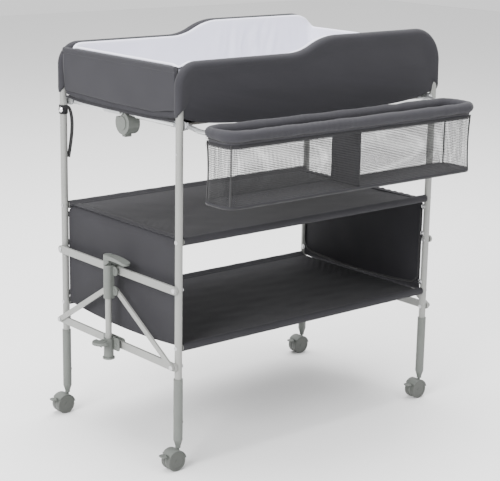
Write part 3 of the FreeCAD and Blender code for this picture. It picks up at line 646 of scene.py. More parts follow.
def floor_cloth(name):
    """Dark cloth under the pad: flat on the rails, drooping past them at both ends in a shallow belly."""
    x = np.concatenate([np.linspace(-1, -0.93, 14), np.linspace(-0.92, 0.92, 60), np.linspace(0.93, 1, 14)])
    x = x * (LEG_X + 0.002)
    v = np.linspace(-1, 1, 60)
    gx, gv = np.meshgrid(x, v, indexing="ij")
    over = np.clip((np.abs(gx) - (RAIL_X + 0.018)) / 0.010, 0, 1)
    belly = (1 - gv ** 4)
    z = 0.7492 + 0.0008 * ripple(gx, gv * HALF_Y, 0.09, 11) - over ** 1.3 * 0.0085 * belly
    points = np.stack([gx, MID_Y + gv * (HALF_Y - 0.012), z], 2)
    return thick(surface(name, points), 0.0016, offset=1.0)


def end_belly(name, side):
    """Sagging fold of the floor cloth that shows below an end wall's hem, a closed crescent along Y.

    Its section is an ellipse from the hem down to a flat parabola below the rail's top.
    """
    along = np.linspace(-1, 1, 80)
    y = MID_Y + along * (HALF_Y - 0.011)
    high = HEM_Z + 0.0060 + 0.0045 * ease(along, 0, 1) + 0.0080 * ease(-along, 0.55, 1)
    low = HEM_Z - 0.001 - 0.0105 * (1 - along ** 2) ** 0.7
    turn = np.linspace(0, 2 * math.pi, 20, endpoint=False)
    x = LEG_X - 0.0045 + 0.0032 * np.cos(turn)[:, None] + 0 * along
    z = (high + low) / 2 + (high - low) / 2 * np.sin(turn)[:, None]
    x = x + 0.0012 * ripple(y, z * 3, 0.05, 23)
    points = np.stack([side * x, np.broadcast_to(y, x.shape), z], 2)
    return capped(name, points)


def tub_liner(name):
    """White inside of the tub: an open bowl with a rolled lip.

    Down the profile, a quarter-circle lip goes over the walls' inner edge, then a near-vertical wall with
    soft wrinkles, a quarter-round foot, and a flat floor that closes on the middle line.
    """
    half_x, half_y, corner = LEG_X - 0.0095, HALF_Y - 0.0125, 0.020
    loop = rounded_loop(half_x, MID_Y - half_y, MID_Y + half_y, corner,
                        per_long=150, per_short=70, per_corner=10)
    x, y, nx, ny = loop.T
    on_end = ease(np.abs(y - MID_Y), half_y, half_y - 0.03)
    end_top = np.where(x < 0, LOW_Z - 0.0015, HIGH_Z - 0.0265)
    rim = top_height(np.clip(x, -LEG_X, LEG_X), 0.004) * (1 - on_end) + end_top * on_end
    floor_z = PAD_LOW[2] + 0.0035
    lip = np.linspace(math.pi, 0.15, 9)
    rows = [(0.0042 + 0.0042 * math.cos(t), rim + 0.0042 * math.sin(t) + 0.0005) for t in lip]
    for share in np.linspace(0, 1, 24)[1:]:
        height = rim * (1 - share) + (floor_z + 0.022) * share
        rows.append((0.0084 + 0.004 * share ** 2, height))
    for t in np.linspace(0, math.pi / 2, 8)[1:]:
        rows.append((0.0124 + 0.022 * (1 - math.cos(t)), floor_z + 0.022 * (1 - math.sin(t)) + 0 * rim))
    points = []
    for index, (inset, z) in enumerate(rows):
        share = index / len(rows)
        puff = ripple(x + y, z * 1.2 + x * 0.5, 0.13, 5) * 0.0022 + ripple(x * 1.4, y + z, 0.05, 6) * 0.0008
        strain = 0.0060 * ripple(x, z * 0.35, 0.036, 9) * np.exp(-((x - 0.15) / 0.09) ** 2) * (y > MID_Y)
        move = (puff + strain) * math.sin(math.pi * min(max((share - 0.2) / 0.6, 0), 1))
        inset = inset + np.maximum(move, -0.002)
        points.append(np.stack([x - nx * inset, y - ny * inset, z], 1))
    floor_edge = points[-1]
    spine = np.stack([np.clip(floor_edge[:, 0], -half_x + half_y, half_x - half_y), np.full(len(x), MID_Y),
                      np.full(len(x), floor_z)], 1)
    for share in np.linspace(0, 1, 12)[1:]:
        points.append(floor_edge * (1 - share) + spine * share)
    item = surface(name, np.stack(points), close_columns=True)
    return thick(tidy_shell(item), 0.0022, offset=-1.0)


def quilted_pad(name):
    """Changing pad: crowned closed cushion, swollen by a cloth simulation, with five sewn channels."""
    sx, sy = (PAD_HIGH[0] - PAD_LOW[0]) / 2 - 0.010, (PAD_HIGH[1] - PAD_LOW[1]) / 2 - 0.012
    middle = [(PAD_LOW[k] + PAD_HIGH[k]) / 2 for k in range(3)]
    loop = rounded_loop(sx, middle[1] - sy, middle[1] + sy, 0.035, per_long=80, per_short=40, per_corner=9)
    x, y, nx, ny = loop.T
    low, high = PAD_LOW[2] + 0.0065, PAD_HIGH[2] - 0.003
    rows = []
    spine = np.stack([np.clip(x, -sx + sy, sx - sy), np.full(len(x), middle[1])], 1)
    edge = np.stack([x, y], 1)
    for z, turn in ((low, 1), (high, -1)):
        shares = np.linspace(1, 0, 24) if turn > 0 else np.linspace(0, 1, 24)
        for share in shares:
            spot = edge * (1 - share) + spine * share
            rows.append(np.column_stack([spot, np.full(len(x), z)]))
    bulge = edge + np.stack([nx, ny], 1) * 0.004
    rows.insert(24, np.column_stack([bulge, np.full(len(x), (low + high) / 2)]))
    item = tidy_shell(surface(name, np.stack(rows), close_columns=True))
    item = swollen(item, 0.006, 0.006)
    at = np.empty(len(item.data.vertices) * 3)
    item.data.vertices.foreach_get("co", at)
    at = at.reshape(-1, 3)
    above = at[:, 2] > middle[2]
    channel = np.zeros(len(at))
    for axis, lines in ((0, PAD_CHANNELS_X), (1, [middle[1] + line for line in PAD_CHANNELS_Y])):
        for line in lines:
            channel += np.exp(-((at[:, axis] - line) / 0.006) ** 2)
    at[:, 2] -= np.where(above, np.minimum(channel, 1.0) * 0.005, 0)
    at[:, 2] = np.clip(at[:, 2], PAD_LOW[2] + 0.006, PAD_HIGH[2] + 0.004)
    item.data.vertices.foreach_set("co", at.ravel())
    flat_map(item)
    return item


def swollen(item, voxel, most):
    """Even remesh, a short cloth simulation under pressure, then a cap on how far each point moved."""
    modified(item, "REMESH", mode="VOXEL", voxel_size=voxel, use_smooth_shade=True)
    apply_modifiers(item)
    before = np.empty(len(item.data.vertices) * 3)
    item.data.vertices.foreach_get("co", before)
    cloth = item.modifiers.new("Cloth", "CLOTH")
    cloth.settings.use_pressure = True
    cloth.settings.uniform_pressure_force = 4.0
    cloth.settings.effector_weights.gravity = 0.0
    scene = bpy.context.scene
    for step in range(1, 21):
        scene.frame_set(step)
    shown = item.evaluated_get(bpy.context.evaluated_depsgraph_get())
    after = np.empty(len(before))
    shown.data.vertices.foreach_get("co", after)
    item.modifiers.clear()
    scene.frame_set(1)
    move = (after - before).reshape(-1, 3)
    length = np.linalg.norm(move, axis=1, keepdims=True)
    move *= np.minimum(1, most / np.maximum(length, 1e-9))
    item.data.vertices.foreach_set("co", (before.reshape(-1, 3) + move).ravel())
    modified(item, "SUBSURF", levels=1, render_levels=1)
    return apply_modifiers(item)


def flat_map(item):
    """UV map in metres from plan position, with height added so that sides keep their threads."""
    mesh = item.data
    layer = mesh.uv_layers.get("cloth") or mesh.uv_layers.new(name="cloth")
    at = np.empty(len(mesh.vertices) * 3)
    mesh.vertices.foreach_get("co", at)
    at = at.reshape(-1, 3)
    corner = np.zeros(len(mesh.loops), np.int32)
    mesh.loops.foreach_get("vertex_index", corner)
    uv = np.stack([at[:, 0] + at[:, 2], at[:, 1] + at[:, 2]], 1)
    layer.data.foreach_set("uv", uv[corner].ravel())


# ---- shelves ----
def shelf_cloth(name, level):
    """Shelf sheet between the hems: a shallow parabola across Y, with taut wrinkles at the corners."""
    z0 = SHELF_TOP[level]
    half_y = SHELF_PIVOT_Y - MID_Y
    x = np.linspace(-SHELF_X - 0.0005, SHELF_X + 0.0005, 150)
    v = np.linspace(-1, 1, 90)
    gx, gv = np.meshgrid(x, v, indexing="ij")
    sag = 0.006 * (1 - gv ** 2) * (1 - (gx / SHELF_X) ** 6)
    seed = 31 if level == "upper" else 37
    crease = ripple(gx * 0.5, gv * half_y, 0.06, seed) * 0.0011 * (1 - gv ** 8)
    strain = 0.0010 * np.sin((np.abs(gx) - np.abs(gv) * half_y) * 300) * ease(np.abs(gx), 0.27, 0.35)
    z = z0 + 0.0006 - sag + crease + strain * (1 - gv ** 6)
    points = np.stack([gx, MID_Y + gv * half_y, z], 2)
    return thick(surface(name, points), 0.0014)


def shelf_hem(name, level, y, outward):
    """Hem round a shelf tube: a closed sleeve with a flat stitched flange on its inner side.

    The section runs from the flange's edge over the tube in a circle and back below it to the flange.
    """
    z0 = SHELF_TOP[level]
    r = SHELF_TUBE_R + 0.0016
    turn = np.radians(np.linspace(118, -128, 26))
    flange = abs(REAR_Y - SHELF_PIVOT_Y) + 0.001
    across = np.concatenate([[-flange, -flange + 0.004, -flange + 0.007], r * np.cos(turn),
                             [-flange + 0.007, -flange + 0.004, -flange]])
    high = np.concatenate([[0.0016, 0.0020, 0.0040], r * np.sin(turn), [-0.0030, -0.0006, 0.0]])
    x = np.linspace(-1, 1, 120) * (LEG_X - TUBE_R - 0.0012)
    wave = 0.0005 * ripple(x[None] * 1.0, across[:, None] * 3, 0.04, 41)
    points = np.stack([np.broadcast_to(x, wave.shape), y + outward * (across[:, None] + wave),
                       z0 + high[:, None] + wave], 2)
    item = capped(name, points)
    line = np.stack([x, np.full_like(x, y - outward * (flange - 0.0052)), np.full_like(x, z0 + 0.0031)], 1)
    row = stitches(name + "_stitches", line, (0, 0, 1), bpy.context.scene.table_sizes.stitch_pitch)
    return item, row


def end_panel(name, side, seed):
    """Cloth between the shelves at one end: a soft bend off the upper shelf, then a panel that bows a little.

    Down the profile an arc of 22 mm radius turns from level to vertical; the bow is a product of sines.
    """
    high, low = SHELF_TOP["upper"], SHELF_TOP["lower"]
    bend = 0.022
    turn = np.linspace(0, math.pi / 2, 12)
    px = np.concatenate([[SHELF_X - 0.022], SHELF_X - 0.0145 + bend * np.sin(turn)])
    pz = np.concatenate([[high + 0.0012], high + 0.0016 - bend * (1 - np.cos(turn))])
    drop = np.linspace(0, 1, 46)[1:]
    v = np.linspace(-1, 1, 80)
    y = MID_Y + v * (HALF_Y - TUBE_R - 0.0006)
    foot = low + 0.002 - 0.011 * (1 - v ** 2)
    x = np.concatenate([np.broadcast_to(px[:, None], (len(px), len(v))),
                        np.full((len(drop), len(v)), px[-1])])
    z = np.concatenate([np.broadcast_to(pz[:, None], (len(pz), len(v))),
                        pz[-1] * (1 - drop[:, None]) + foot[None] * drop[:, None]])
    down = np.clip((high - z) / (high - low), 0, 1)
    bow = 0.004 * np.sin(math.pi * down) * (1 - v ** 2)
    crease = 0.0020 * ripple(y * 1.0, z * 0.8, 0.10, seed) * np.sin(math.pi * down) * (1 - v ** 6)
    points = np.stack([side * (x - bow + crease), np.broadcast_to(y, x.shape), z], 2)
    item = thick(surface(name, points), 0.0013)
    corner = 0.030
    bottom = points[-1] + [0, 0, 0.016]
    inner = bottom[(np.abs(bottom[:, 1] - MID_Y) < HALF_Y - TUBE_R - corner)]
    quarter = np.linspace(0, math.pi / 2, 8)[1:-1]
    path = []
    for sign, end in ((-1, inner[0]), (1, inner[-1])):
        reach = HALF_Y - TUBE_R - 0.004
        rise = np.linspace(high - 0.030, end[2] + corner, 26)
        upright = np.stack([np.full(26, end[0]), np.full(26, MID_Y + sign * reach), rise], 1)
        arc_y = MID_Y + sign * (reach - corner + corner * np.cos(quarter))
        round_off = np.stack([np.full(6, end[0]), arc_y, end[2] + corner - corner * np.sin(quarter)], 1)
        leg = np.concatenate([upright, round_off])
        path.append(leg if sign < 0 else leg[::-1])
    path = np.concatenate([path[0], inner, path[1]])
    path[:, 0] = side * (np.abs(path[:, 0]) - 0.0022)
    return item, points, tube_along(name + "_edging", path, 0.0020, 10)


# ---- basket ----
def basket_loop(grow, corner, **counts):
    return rounded_loop(BAG_HIGH[0] + grow, BAG_LOW[1] - grow, BAG_HIGH[1] + grow, corner, **counts)


def rim_roll(name):
    """Padded rim: a tube along the rounded rectangle whose radius and height waver a little."""
    cx, cy0, cy1 = RIM_HIGH[0] - RIM_R, RIM_LOW[1] + RIM_R, RIM_HIGH[1] - RIM_R
    loop = rounded_loop(cx, cy0, cy1, 0.026, per_long=150, per_short=14, per_corner=12)
    x, y = loop[:, 0], loop[:, 1]
    z = np.full(len(x), (RIM_LOW[2] + RIM_HIGH[2]) / 2) + 0.0020 - 0.0012 * np.cos(x / cx * math.pi / 2)
    path = np.stack([x, y, z], 1)
    radius = RIM_R + 0.0026 + 0.0016 * ripple(x, y, 0.060, 51) + 0.0008 * ripple(x, y, 0.022, 52)
    return tube_along(name, path, radius, 20, closed=True)


def band(name, low_z, high_z, grow, width, seed):
    """Upright cloth band round the bag, a closed strip of even thickness."""
    loop = basket_loop(grow, BAG_CORNER + grow, per_long=120, per_short=12, per_corner=10)
    x, y, nx, ny = loop.T
    z = np.array([low_z, (low_z + high_z) / 2, high_z, high_z, (low_z + high_z) / 2, low_z])
    out = np.array([0, 0.0006, 0, -width, -width, -width])
    waver = 0.0007 * ripple(x, y, 0.06, seed)
    move = out[:, None] + waver
    points = np.stack([x + nx * move, y + ny * move, np.broadcast_to(z[:, None], move.shape)], 2)
    return tidy_shell(surface(name, points, close_rows=True, close_columns=True))


def bag_floor(name):
    """Stiffened floor of the bag: a flat closed slab with round edges, and a slight belly."""
    loop = basket_loop(-0.001, 0.027, per_long=120, per_short=12, per_corner=10)
    x, y, nx, ny = loop.T
    edge = np.stack([x, y], 1)
    half_y = (BAG_HIGH[1] - BAG_LOW[1]) / 2
    mid = (BAG_HIGH[1] + BAG_LOW[1]) / 2
    spine = np.stack([np.clip(x, -BAG_HIGH[0] + half_y, BAG_HIGH[0] - half_y), np.full(len(x), mid)], 1)
    rows = []
    for z, shares in ((BAG_LOW[2], np.linspace(1, 0, 9)), (BAG_LOW[2] + 0.004, np.linspace(0, 1, 9))):
        for share in shares:
            spot = edge * (1 - share) + spine * share
            belly = -0.003 * share * (2 - share) * np.cos(spot[:, 0] / BAG_HIGH[0] * 1.4) ** 2
            rows.append(np.column_stack([spot, z + 0.003 + belly]))
    return tidy_shell(surface(name, np.stack(rows), close_columns=True))


def along_loop(grow, corner, spread):
    """x, y and outward normal on the bag's loop, at the distances that spread gives for its whole length."""
    loop = basket_loop(grow, corner, per_long=240, per_short=30, per_corner=16)
    ring = np.concatenate([loop, loop[:1]])
    run = np.concatenate([[0], np.cumsum(np.linalg.norm(np.diff(ring[:, :2], axis=0), axis=1))])
    at = spread(run[-1])
    return [np.interp(at, run, ring[:, k]) for k in range(4)]


def net(name, low_z, high_z, grow, pitch, hole):
    """Net round the bag: a grid of square frames, each cell four quads round its hole.

    Cell corners sit on the bag's loop; the hole's corners are pulled towards the cell's middle.
    """
    def stops(length):
        return np.linspace(0, length, 2 * int(round(length / pitch)), endpoint=False)

    x, y, nx, ny = along_loop(grow, BAG_CORNER, stops)
    around = len(x) // 2
    up = int(round((high_z - low_z) / pitch))
    rows = np.linspace(low_z, high_z, 2 * up + 1)
    level = (rows - low_z) / (high_z - low_z)

    def place(si, zi, ds, dz):
        """Point at half-cell indices, moved by ds along the loop and dz upwards."""
        ahead = np.stack([-ny[si], nx[si]], -1)
        slack = 0.0035 * np.sin(math.pi * level[zi]) * (0.6 + 0.8 * ripple(x[si], y[si], 0.15, 61))
        px = x[si] + ahead[..., 0] * ds + nx[si] * -slack
        py = y[si] + ahead[..., 1] * ds + ny[si] * -slack
        return np.stack([px, py, rows[zi] + dz], -1)

    i, j = np.meshgrid(np.arange(around), np.arange(up + 1), indexing="ij")
    knots = place(2 * i, 2 * j, 0.0, 0.0).reshape(-1, 3)
    ci, cj = [a.ravel() for a in np.meshgrid(np.arange(around), np.arange(up), indexing="ij")]
    reach = pitch * hole / 2
    holes = np.stack([place(2 * ci + 1, 2 * cj + 1, dx * reach, dz * reach)
                      for dx, dz in ((-1, -1), (1, -1), (1, 1), (-1, 1))], 1).reshape(-1, 3)
    wrap = (ci + 1) % around
    here, there = ci * (up + 1) + cj, wrap * (up + 1) + cj
    outer = np.stack([here, there, there + 1, here + 1], 1)
    inner = len(knots) + np.arange(len(ci))[:, None] * 4 + np.arange(4)[None]
    faces = np.concatenate([np.stack([outer[:, k], outer[:, n], inner[:, n], inner[:, k]], 1)
                            for k, n in ((0, 1), (1, 2), (2, 3), (3, 0))])
    return new_object(name, np.concatenate([knots, holes]), faces)


def zip_teeth(name, z, grow, pitch=0.0022):
    """Zip's teeth: small wedges side by side round the bag, just under the rim."""
    x, y, nx, ny = along_loop(grow, BAG_CORNER + grow, lambda length: np.arange(0, length, pitch))
    out = np.stack([nx, ny, 0 * nx], 1)
    ahead = np.stack([-ny, nx, 0 * nx], 1)
    up = np.array([0.0, 0.0, 1.0])
    base = np.stack([x, y, np.full_like(x, z)], 1)
    corners = np.stack([base + ahead * a * pitch * 0.33 + out * o * 0.0009 + up * u * 0.0022
                        for a, o, u in ((-1, 0, -1), (1, 0, -1), (1, 0, 1), (-1, 0, 1),
                                        (-0.6, 1, -0.7), (0.6, 1, -0.7), (0.6, 1, 0.7), (-0.6, 1, 0.7))], 1)
    cube = np.array([[0, 3, 2, 1], [4, 5, 6, 7], [0, 1, 5, 4], [1, 2, 6, 5], [2, 3, 7, 6], [3, 0, 4, 7]])
    faces = (cube[None] + np.arange(len(x))[:, None, None] * 8).reshape(-1, 4)
    return tidy_shell(new_object(name, corners.reshape(-1, 3), faces), merge=False)


def divider_panel(name):
    """Cloth divider: a closed thin panel with a soft bow and a bound top edge."""
    low, high = BAG_LOW[2] + 0.006, BAG_HIGH[2] - 0.012
    y0, y1 = BAG_LOW[1] + 0.003, BAG_HIGH[1] - 0.003
    v, w = np.meshgrid(np.linspace(0, 1, 30), np.linspace(0, 1, 36), indexing="ij")
    dip = 0.006 * np.sin(math.pi * v)
    z = low * (1 - w) + (high - dip) * w
    y = y0 * (1 - v) + y1 * v
    x = 0.004 * np.sin(math.pi * v) * np.sin(math.pi * w) + 0.001 * ripple(y, z, 0.05, 71)
    points = np.stack([x, y, z], 2)
    binding = tube_along(name + "_binding", points[:, -1], 0.0022, 10)
    return thick(surface(name, points), 0.0022), binding


def corner_pipes(name):
    """Piping up the bag's four corners, each drawn in a little at half height."""
    pipes = []
    low, top = BAG_LOW[2], BAG_HIGH[2]
    z = np.linspace(low + 0.004, ZIP_Z - 0.006, 24)
    slack = 0.0274 - 0.0030 * np.sin(math.pi * (z - low) / (top - low))
    for sx in (-1, 1):
        for sy, y in ((-1, BAG_LOW[1]), (1, BAG_HIGH[1])):
            away = np.array([sx, sy]) / math.sqrt(2)
            line = np.stack([sx * (BAG_HIGH[0] - BAG_CORNER) + away[0] * slack,
                             y - sy * BAG_CORNER + away[1] * slack, z], 1)
            pipes.append(tube_along("corner_pipe_%d" % len(pipes), line, 0.0017, 8))
    return joined(name, pipes)


def hanging_pull(name):
    """Zip's slider and waisted tag, at the bag's rear left corner."""
    away = np.array([-math.cos(0.45), math.sin(0.45), 0.0])
    hang = np.array([-BAG_HIGH[0] + BAG_CORNER, BAG_HIGH[1] - BAG_CORNER, ZIP_Z]) + away * 0.0285
    gd, ga = np.meshgrid(np.linspace(0, 1, 14), np.linspace(-1, 1, 5), indexing="ij")
    half = ga * (0.0026 - 0.0009 * np.sin(gd * math.pi))
    tag = np.stack([hang[0] + away[0] * 0.002 * gd + away[1] * half,
                    hang[1] + away[1] * 0.002 * gd - away[0] * half, ZIP_Z - gd * 0.017], 2)
    profile = ((0.0, 0.0024), (0.0030, 0.0022), (0.0042, 0.0012), (0.0044, 0.0), (0.0, 0.0))
    slider = turn_to(lathe("zip_slider", profile, 20), away, hang - away * 0.001)
    return joined(name, [thick(surface("zip_tag", tag), 0.0010), slider])


# ---- operators ----
class PieceOperator(bpy.types.Operator):
    """One step of the table."""
    bl_options = {"UNDO"}

    def execute(self, context):
        self.build(context.scene.table_sizes)
        return {"FINISHED"}


FINISHES = {
    "frame_paint": "paint", "hub_plastic": "plastic", "galvanised": "zinc", "rivet_steel": "rivet",
    "outer_fabric": "outer", "liner_fabric": "liner", "shelf_fabric": "shelf", "mesh_fabric": "net",
    "webbing": "webbing", "stiffener_board": "board",
}


class TABLE_OT_finishes(PieceOperator):
    """Make the finishes and put them on the frame's metal and plastic parts"""
    bl_idname = "table.finishes"
    bl_label = "Finishes"

    def build(self, sizes):
        make_materials()
        for item in bpy.data.objects:
            if item.type != "MESH":
                continue
            for place in item.material_slots:
                key = place.material.name.split(".")[0] if place.material else ""
                if key in FINISHES:
                    wheel = item.name.endswith("_wheels")
                    place.material = MATERIALS["wheel" if wheel else FINISHES[key]]


class TABLE_OT_long_walls(PieceOperator):
    """Padded long walls of the tub, with their seams"""
    bl_idname = "table.long_walls"
    bl_label = "Long walls"

    def build(self, sizes):
        for end, y, outward, seed in (("front", FRONT_Y, -1, 3), ("rear", REAR_Y, 1, 4)):
            item, outline, spine = wall_cover(end + "_wall_cover", y, outward, seed)
            body = end + "_frame"
            finish_piece(item, body, "outer", [end + "_wall"])
            seam = wall_seam(end + "_wall_seam", outline, spine, y, outward, 0.0165)
            finish_piece(seam, body, "stitch")


class TABLE_OT_end_walls(PieceOperator):
    """Padded end walls of the tub, with the floor cloth's folds under them"""
    bl_idname = "table.end_walls"
    bl_label = "End walls"

    def build(self, sizes):
        for end, side, top_z, seed in (("left", -1, LOW_Z + 0.0005, 7), ("right", 1, HIGH_Z - 0.0235, 8)):
            item, y, hem_z = end_wall(end + "_end_wall", side, top_z, seed)
            finish_piece(item, "rear_frame", "outer")
            fold = end_belly(end + "_floor_fold", side)
            finish_piece(fold, "rear_frame", "outer")
            seam_x = side * (LEG_X + END_WALL_OUT - 0.0012)
            line = np.stack([np.full_like(y, seam_x), y, np.full_like(y, top_z - 0.0125)], 1)
            seam = stitches(end + "_end_seam", line, (side, 0, 0), sizes.stitch_pitch)
            finish_piece(seam, "rear_frame", "stitch")
            for piece in (item, fold, seam):
                fold_with_frame(piece)
        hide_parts("end_walls")


class TABLE_OT_floor_cloth(PieceOperator):
    """Cloth floor of the tub under the pad"""
    bl_idname = "table.floor_cloth"
    bl_label = "Floor cloth"

    def build(self, sizes):
        item = floor_cloth("floor_cloth")
        finish_piece(item, "rear_frame", "shelf")
        fold_with_frame(item)


class TABLE_OT_liner(PieceOperator):
    """White padded liner inside the tub"""
    bl_idname = "table.liner"
    bl_label = "Liner"

    def build(self, sizes):
        item = tub_liner("tub_liner")
        finish_piece(item, "rear_frame", "liner")
        fold_with_frame(item)


class TABLE_OT_pad(PieceOperator):
    """Quilted changing pad"""
    bl_idname = "table.pad"
    bl_label = "Pad"

    def build(self, sizes):
        item = quilted_pad("changing_pad")
        finish_piece(item, "rear_frame", "liner", ["pad"])
        fold_with_frame(item)


class TABLE_OT_shelves(PieceOperator):
    """Shelf cloths and the hems round their tubes"""
    bl_idname = "table.shelves"
    bl_label = "Shelves"

    def build(self, sizes):
        for level in ("upper", "lower"):
            item = shelf_cloth(level + "_shelf_cloth", level)
            item.data.materials.clear()
            item.data.materials.append(MATERIALS["shelf"])
            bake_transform(item)
            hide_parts(level + "_shelf_rear", level + "_shelf_front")
            for end, y, outward in (("front", FRONT_Y, -1), ("rear", REAR_Y, 1)):
                hem, row = shelf_hem(level + "_" + end + "_hem", level, y, outward)
                finish_piece(hem, end + "_frame", "shelf")
                finish_piece(row, end + "_frame", "stitch")


class TABLE_OT_end_panels(PieceOperator):
    """Cloth panels that close the ends between the shelves"""
    bl_idname = "table.end_panels"
    bl_label = "End panels"

    def build(self, sizes):
        for end, side, seed in (("left", -1, 13), ("right", 1, 14)):
            item, points, edging = end_panel(end + "_end_panel", side, seed)
            finish_piece(item, "rear_frame", "shelf")
            finish_piece(edging, "rear_frame", "trim")
            fold_with_frame(item)
            fold_with_frame(edging)
        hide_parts("end_panels")


class TABLE_OT_panel_screws(PieceOperator):
    """Screws with cup washers that hold the end panels to the legs"""
    bl_idname = "table.panel_screws"
    bl_label = "Panel screws"

    def build(self, sizes):
        cup = ((0.0, 0.0026), (0.0022, 0.0024), (0.0030, 0.0016), (0.0034, 0.0010), (0.0046, 0.0013),
               (0.0062, 0.0008), (0.0066, 0.0), (0.0, 0.0))
        for end, y, inward in (("front", FRONT_Y, 1), ("rear", REAR_Y, -1)):
            heads = []
            for side in (-1, 1):
                for height in PANEL_SCREW_Z:
                    head = lathe("panel_screw_%d" % len(heads), cup, 28)
                    heads.append(turn_to(head, (-side, 0, 0), (side * 0.3626, y + inward * 0.0052, height)))
            screws = joined(end + "_panel_screws", heads)
            finish_piece(screws, end + "_frame", "rivet")


class TABLE_OT_basket(PieceOperator):
    """Net basket with its padded rim, zip, bands, floor and divider"""
    bl_idname = "table.basket"
    bl_label = "Basket"

    def build(self, sizes):
        low = BAG_LOW[2]
        roll = rim_roll("basket_rim_roll")
        tape = band("zip_tape", ZIP_Z - 0.006, ZIP_Z + 0.005, -0.0035, 0.0014, 81)
        teeth = zip_teeth("zip_teeth", ZIP_Z, -0.0033)
        lower = band("lower_band", low + 0.001, low + 0.008, 0.0004, 0.0024, 82)
        upper = band("upper_band", ZIP_Z - 0.013, ZIP_Z - 0.0055, -0.0032, 0.0014, 83)
        body = net("bag_net", low + 0.006, ZIP_Z - 0.0065, -0.0020, sizes.net_pitch, sizes.net_hole)
        floor = bag_floor("bag_floor")
        divider, binding = divider_panel("bag_divider")
        piping = corner_pipes("corner_piping")
        puller = hanging_pull("zip_pull")
        edge = basket_loop(-0.0004, 0.0276, per_long=120, per_short=14, per_corner=12)
        line = np.column_stack([edge[:, :2], np.full(len(edge), low + 0.0035)])
        foot = tube_along("foot_piping", line, 0.0018, 8, closed=True)
        for piece, slot, finish, replaced in (
                (roll, "outer_fabric", "roll", ["basket_rim"]), (tape, "outer_fabric", "roll", ()),
                (teeth, "outer_fabric", "trim", ()), (lower, "mesh_fabric", "shelf", ()),
                (upper, "mesh_fabric", "shelf", ()), (body, "mesh_fabric", "net", ["basket_bag"]),
                (floor, "mesh_fabric", "shelf", ()), (binding, "mesh_fabric", "trim", ()),
                (divider, "mesh_fabric", "shelf", ()), (piping, "mesh_fabric", "trim", ()),
                (puller, "rivet_steel", "chrome", ()), (foot, "mesh_fabric", "trim", ())):
            finish_piece(piece, "basket", finish, replaced)


class TABLE_OT_strap(PieceOperator):
    """Storage strap round the left rear leg, with its snap and hanging tail"""
    bl_idname = "table.strap"
    bl_label = "Storage strap"

    def build(self, sizes):
        low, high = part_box("storage_strap")
        bottom, top = high[2] - STRAP_WIDTH, high[2]
        turn = np.linspace(0, 2 * math.pi, 40, endpoint=False)
        z = np.array([bottom - 0.0003, bottom + 0.0005, top - 0.0005, top, top, top - 0.0005, bottom + 0.0005,
                      bottom - 0.0003])
        r = TUBE_R + np.array([0.0012, 0.0022, 0.0022, 0.0012, 0.0005, 0.0003, 0.0003, 0.0005])
        points = np.stack([-LEG_X + r[:, None] * np.cos(turn), REAR_Y + r[:, None] * np.sin(turn),
                           np.broadcast_to(z[:, None], (8, 40))], 2)
        wrap = tidy_shell(surface("strap_wrap", points, close_rows=True, close_columns=True))
        gd, ga = np.meshgrid(np.linspace(0, 1, 60), np.linspace(-1, 1, 12), indexing="ij")
        x = -LEG_X + TUBE_R + 0.0018 + 0.0105 * np.sin(math.pi * gd ** 0.62)
        y = REAR_Y - 0.001 + ga * 0.0060 - 0.003 * np.sin(gd * 2.4)
        z = top - 0.003 - gd * (top - 0.003 - low[2])
        tail = thick(surface("strap_tail", np.stack([x, y, z], 2)), 0.0014)
        strap = joined("storage_strap_webbing", [wrap, tail])
        finish_piece(strap, "rear_frame", "webbing", ["storage_strap"])
        snap = lathe("strap_snap", ((0.0, 0.0022), (0.0030, 0.0020), (0.0036, 0.0012), (0.0058, 0.0009),
                                    (0.0062, 0.0), (0.0, 0.0)), 24)
        turn_to(snap, (-1, -0.35, 0), (-LEG_X - 0.0094, REAR_Y - 0.0034, top - 0.010))
        finish_piece(snap, "rear_frame", "chrome")


def panel_light(name, place, aim, width, power):
    """Soft square light aimed at a point."""
    data = bpy.data.lights.new(name, "AREA")
    data.shape = "RECTANGLE"
    data.size, data.size_y = width, width
    data.energy = power
    item = bpy.data.objects.new(name, data)
    bpy.context.scene.collection.objects.link(item)
    item.matrix_world = facing_from(np.subtract(place, aim), place)
    return item


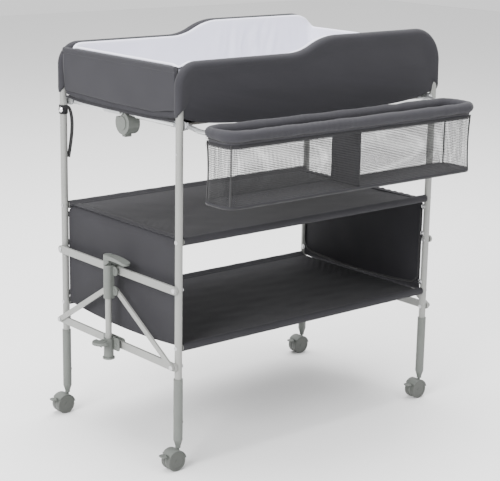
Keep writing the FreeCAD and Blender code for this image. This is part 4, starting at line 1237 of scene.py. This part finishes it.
class TABLE_OT_stage(PieceOperator):
    """Pale floor, soft studio light and the camera"""
    bl_idname = "table.stage"
    bl_label = "Stage"

    def build(self, sizes):
        gx, gy = np.meshgrid(np.linspace(-9, 9, 3), np.linspace(-9, 9, 3), indexing="ij")
        floor = surface("studio_floor", np.stack([gx, gy, np.zeros((3, 3))], 2))
        floor.data.materials.append(material("studio floor", (0.86, 0.86, 0.86), 0.9)[0])
        lights = [panel_light("key_light", (-4.2, -1.2, 2.8), (0, 0, 0.5), 2.6, 380.0),
                  panel_light("front_light", (1.2, -4.6, 2.2), (0, 0, 0.5), 2.6, 60.0),
                  panel_light("top_light", (0.3, 0.6, 4.4), (0, 0, 0.5), 3.6, 420.0)]
        world = bpy.data.worlds.new("studio")
        world.use_nodes = True
        world.node_tree.nodes["Background"].inputs[0].default_value = (1, 1, 1, 1)
        world.node_tree.nodes["Background"].inputs[1].default_value = 1.12
        bpy.context.scene.world = world
        data = bpy.data.cameras.new("camera")
        data.lens, data.sensor_width = LENS, SENSOR
        camera = bpy.data.objects.new("camera", data)
        bpy.context.scene.collection.objects.link(camera)
        camera.matrix_world = axes_at(CAMERA_RIGHT, CAMERA_UP, CAMERA_BACK, CAMERA_PLACE)
        bpy.context.scene.camera = camera


STEPS = (TABLE_OT_finishes, TABLE_OT_long_walls, TABLE_OT_end_walls, TABLE_OT_floor_cloth, TABLE_OT_liner,
         TABLE_OT_pad, TABLE_OT_shelves, TABLE_OT_end_panels, TABLE_OT_panel_screws, TABLE_OT_basket,
         TABLE_OT_strap, TABLE_OT_stage)


class TABLE_PT_pieces(bpy.types.Panel):
    """The table's pieces, one button each"""
    bl_idname = "TABLE_PT_pieces"
    bl_label = "Changing table"
    bl_space_type = "VIEW_3D"
    bl_region_type = "UI"
    bl_category = "Changing table"

    def draw(self, context):
        for group in (context.scene.table_sizes, context.scene.table_colours):
            for name in group.__annotations__:
                self.layout.prop(group, name)
        for step in STEPS:
            self.layout.operator(step.bl_idname)


CLASSES = (TableSizes, TableColours, *STEPS, TABLE_PT_pieces)


def register():
    for item in CLASSES:
        bpy.utils.register_class(item)
    bpy.types.Scene.table_sizes = PointerProperty(type=TableSizes)
    bpy.types.Scene.table_colours = PointerProperty(type=TableColours)


def unregister():
    del bpy.types.Scene.table_colours
    del bpy.types.Scene.table_sizes
    for item in reversed(CLASSES):
        bpy.utils.unregister_class(item)


def main():
    register()
    for step in STEPS:
        group, operation = step.bl_idname.split(".")
        getattr(getattr(bpy.ops, group), operation)()


if __name__ == "__main__":
    main()
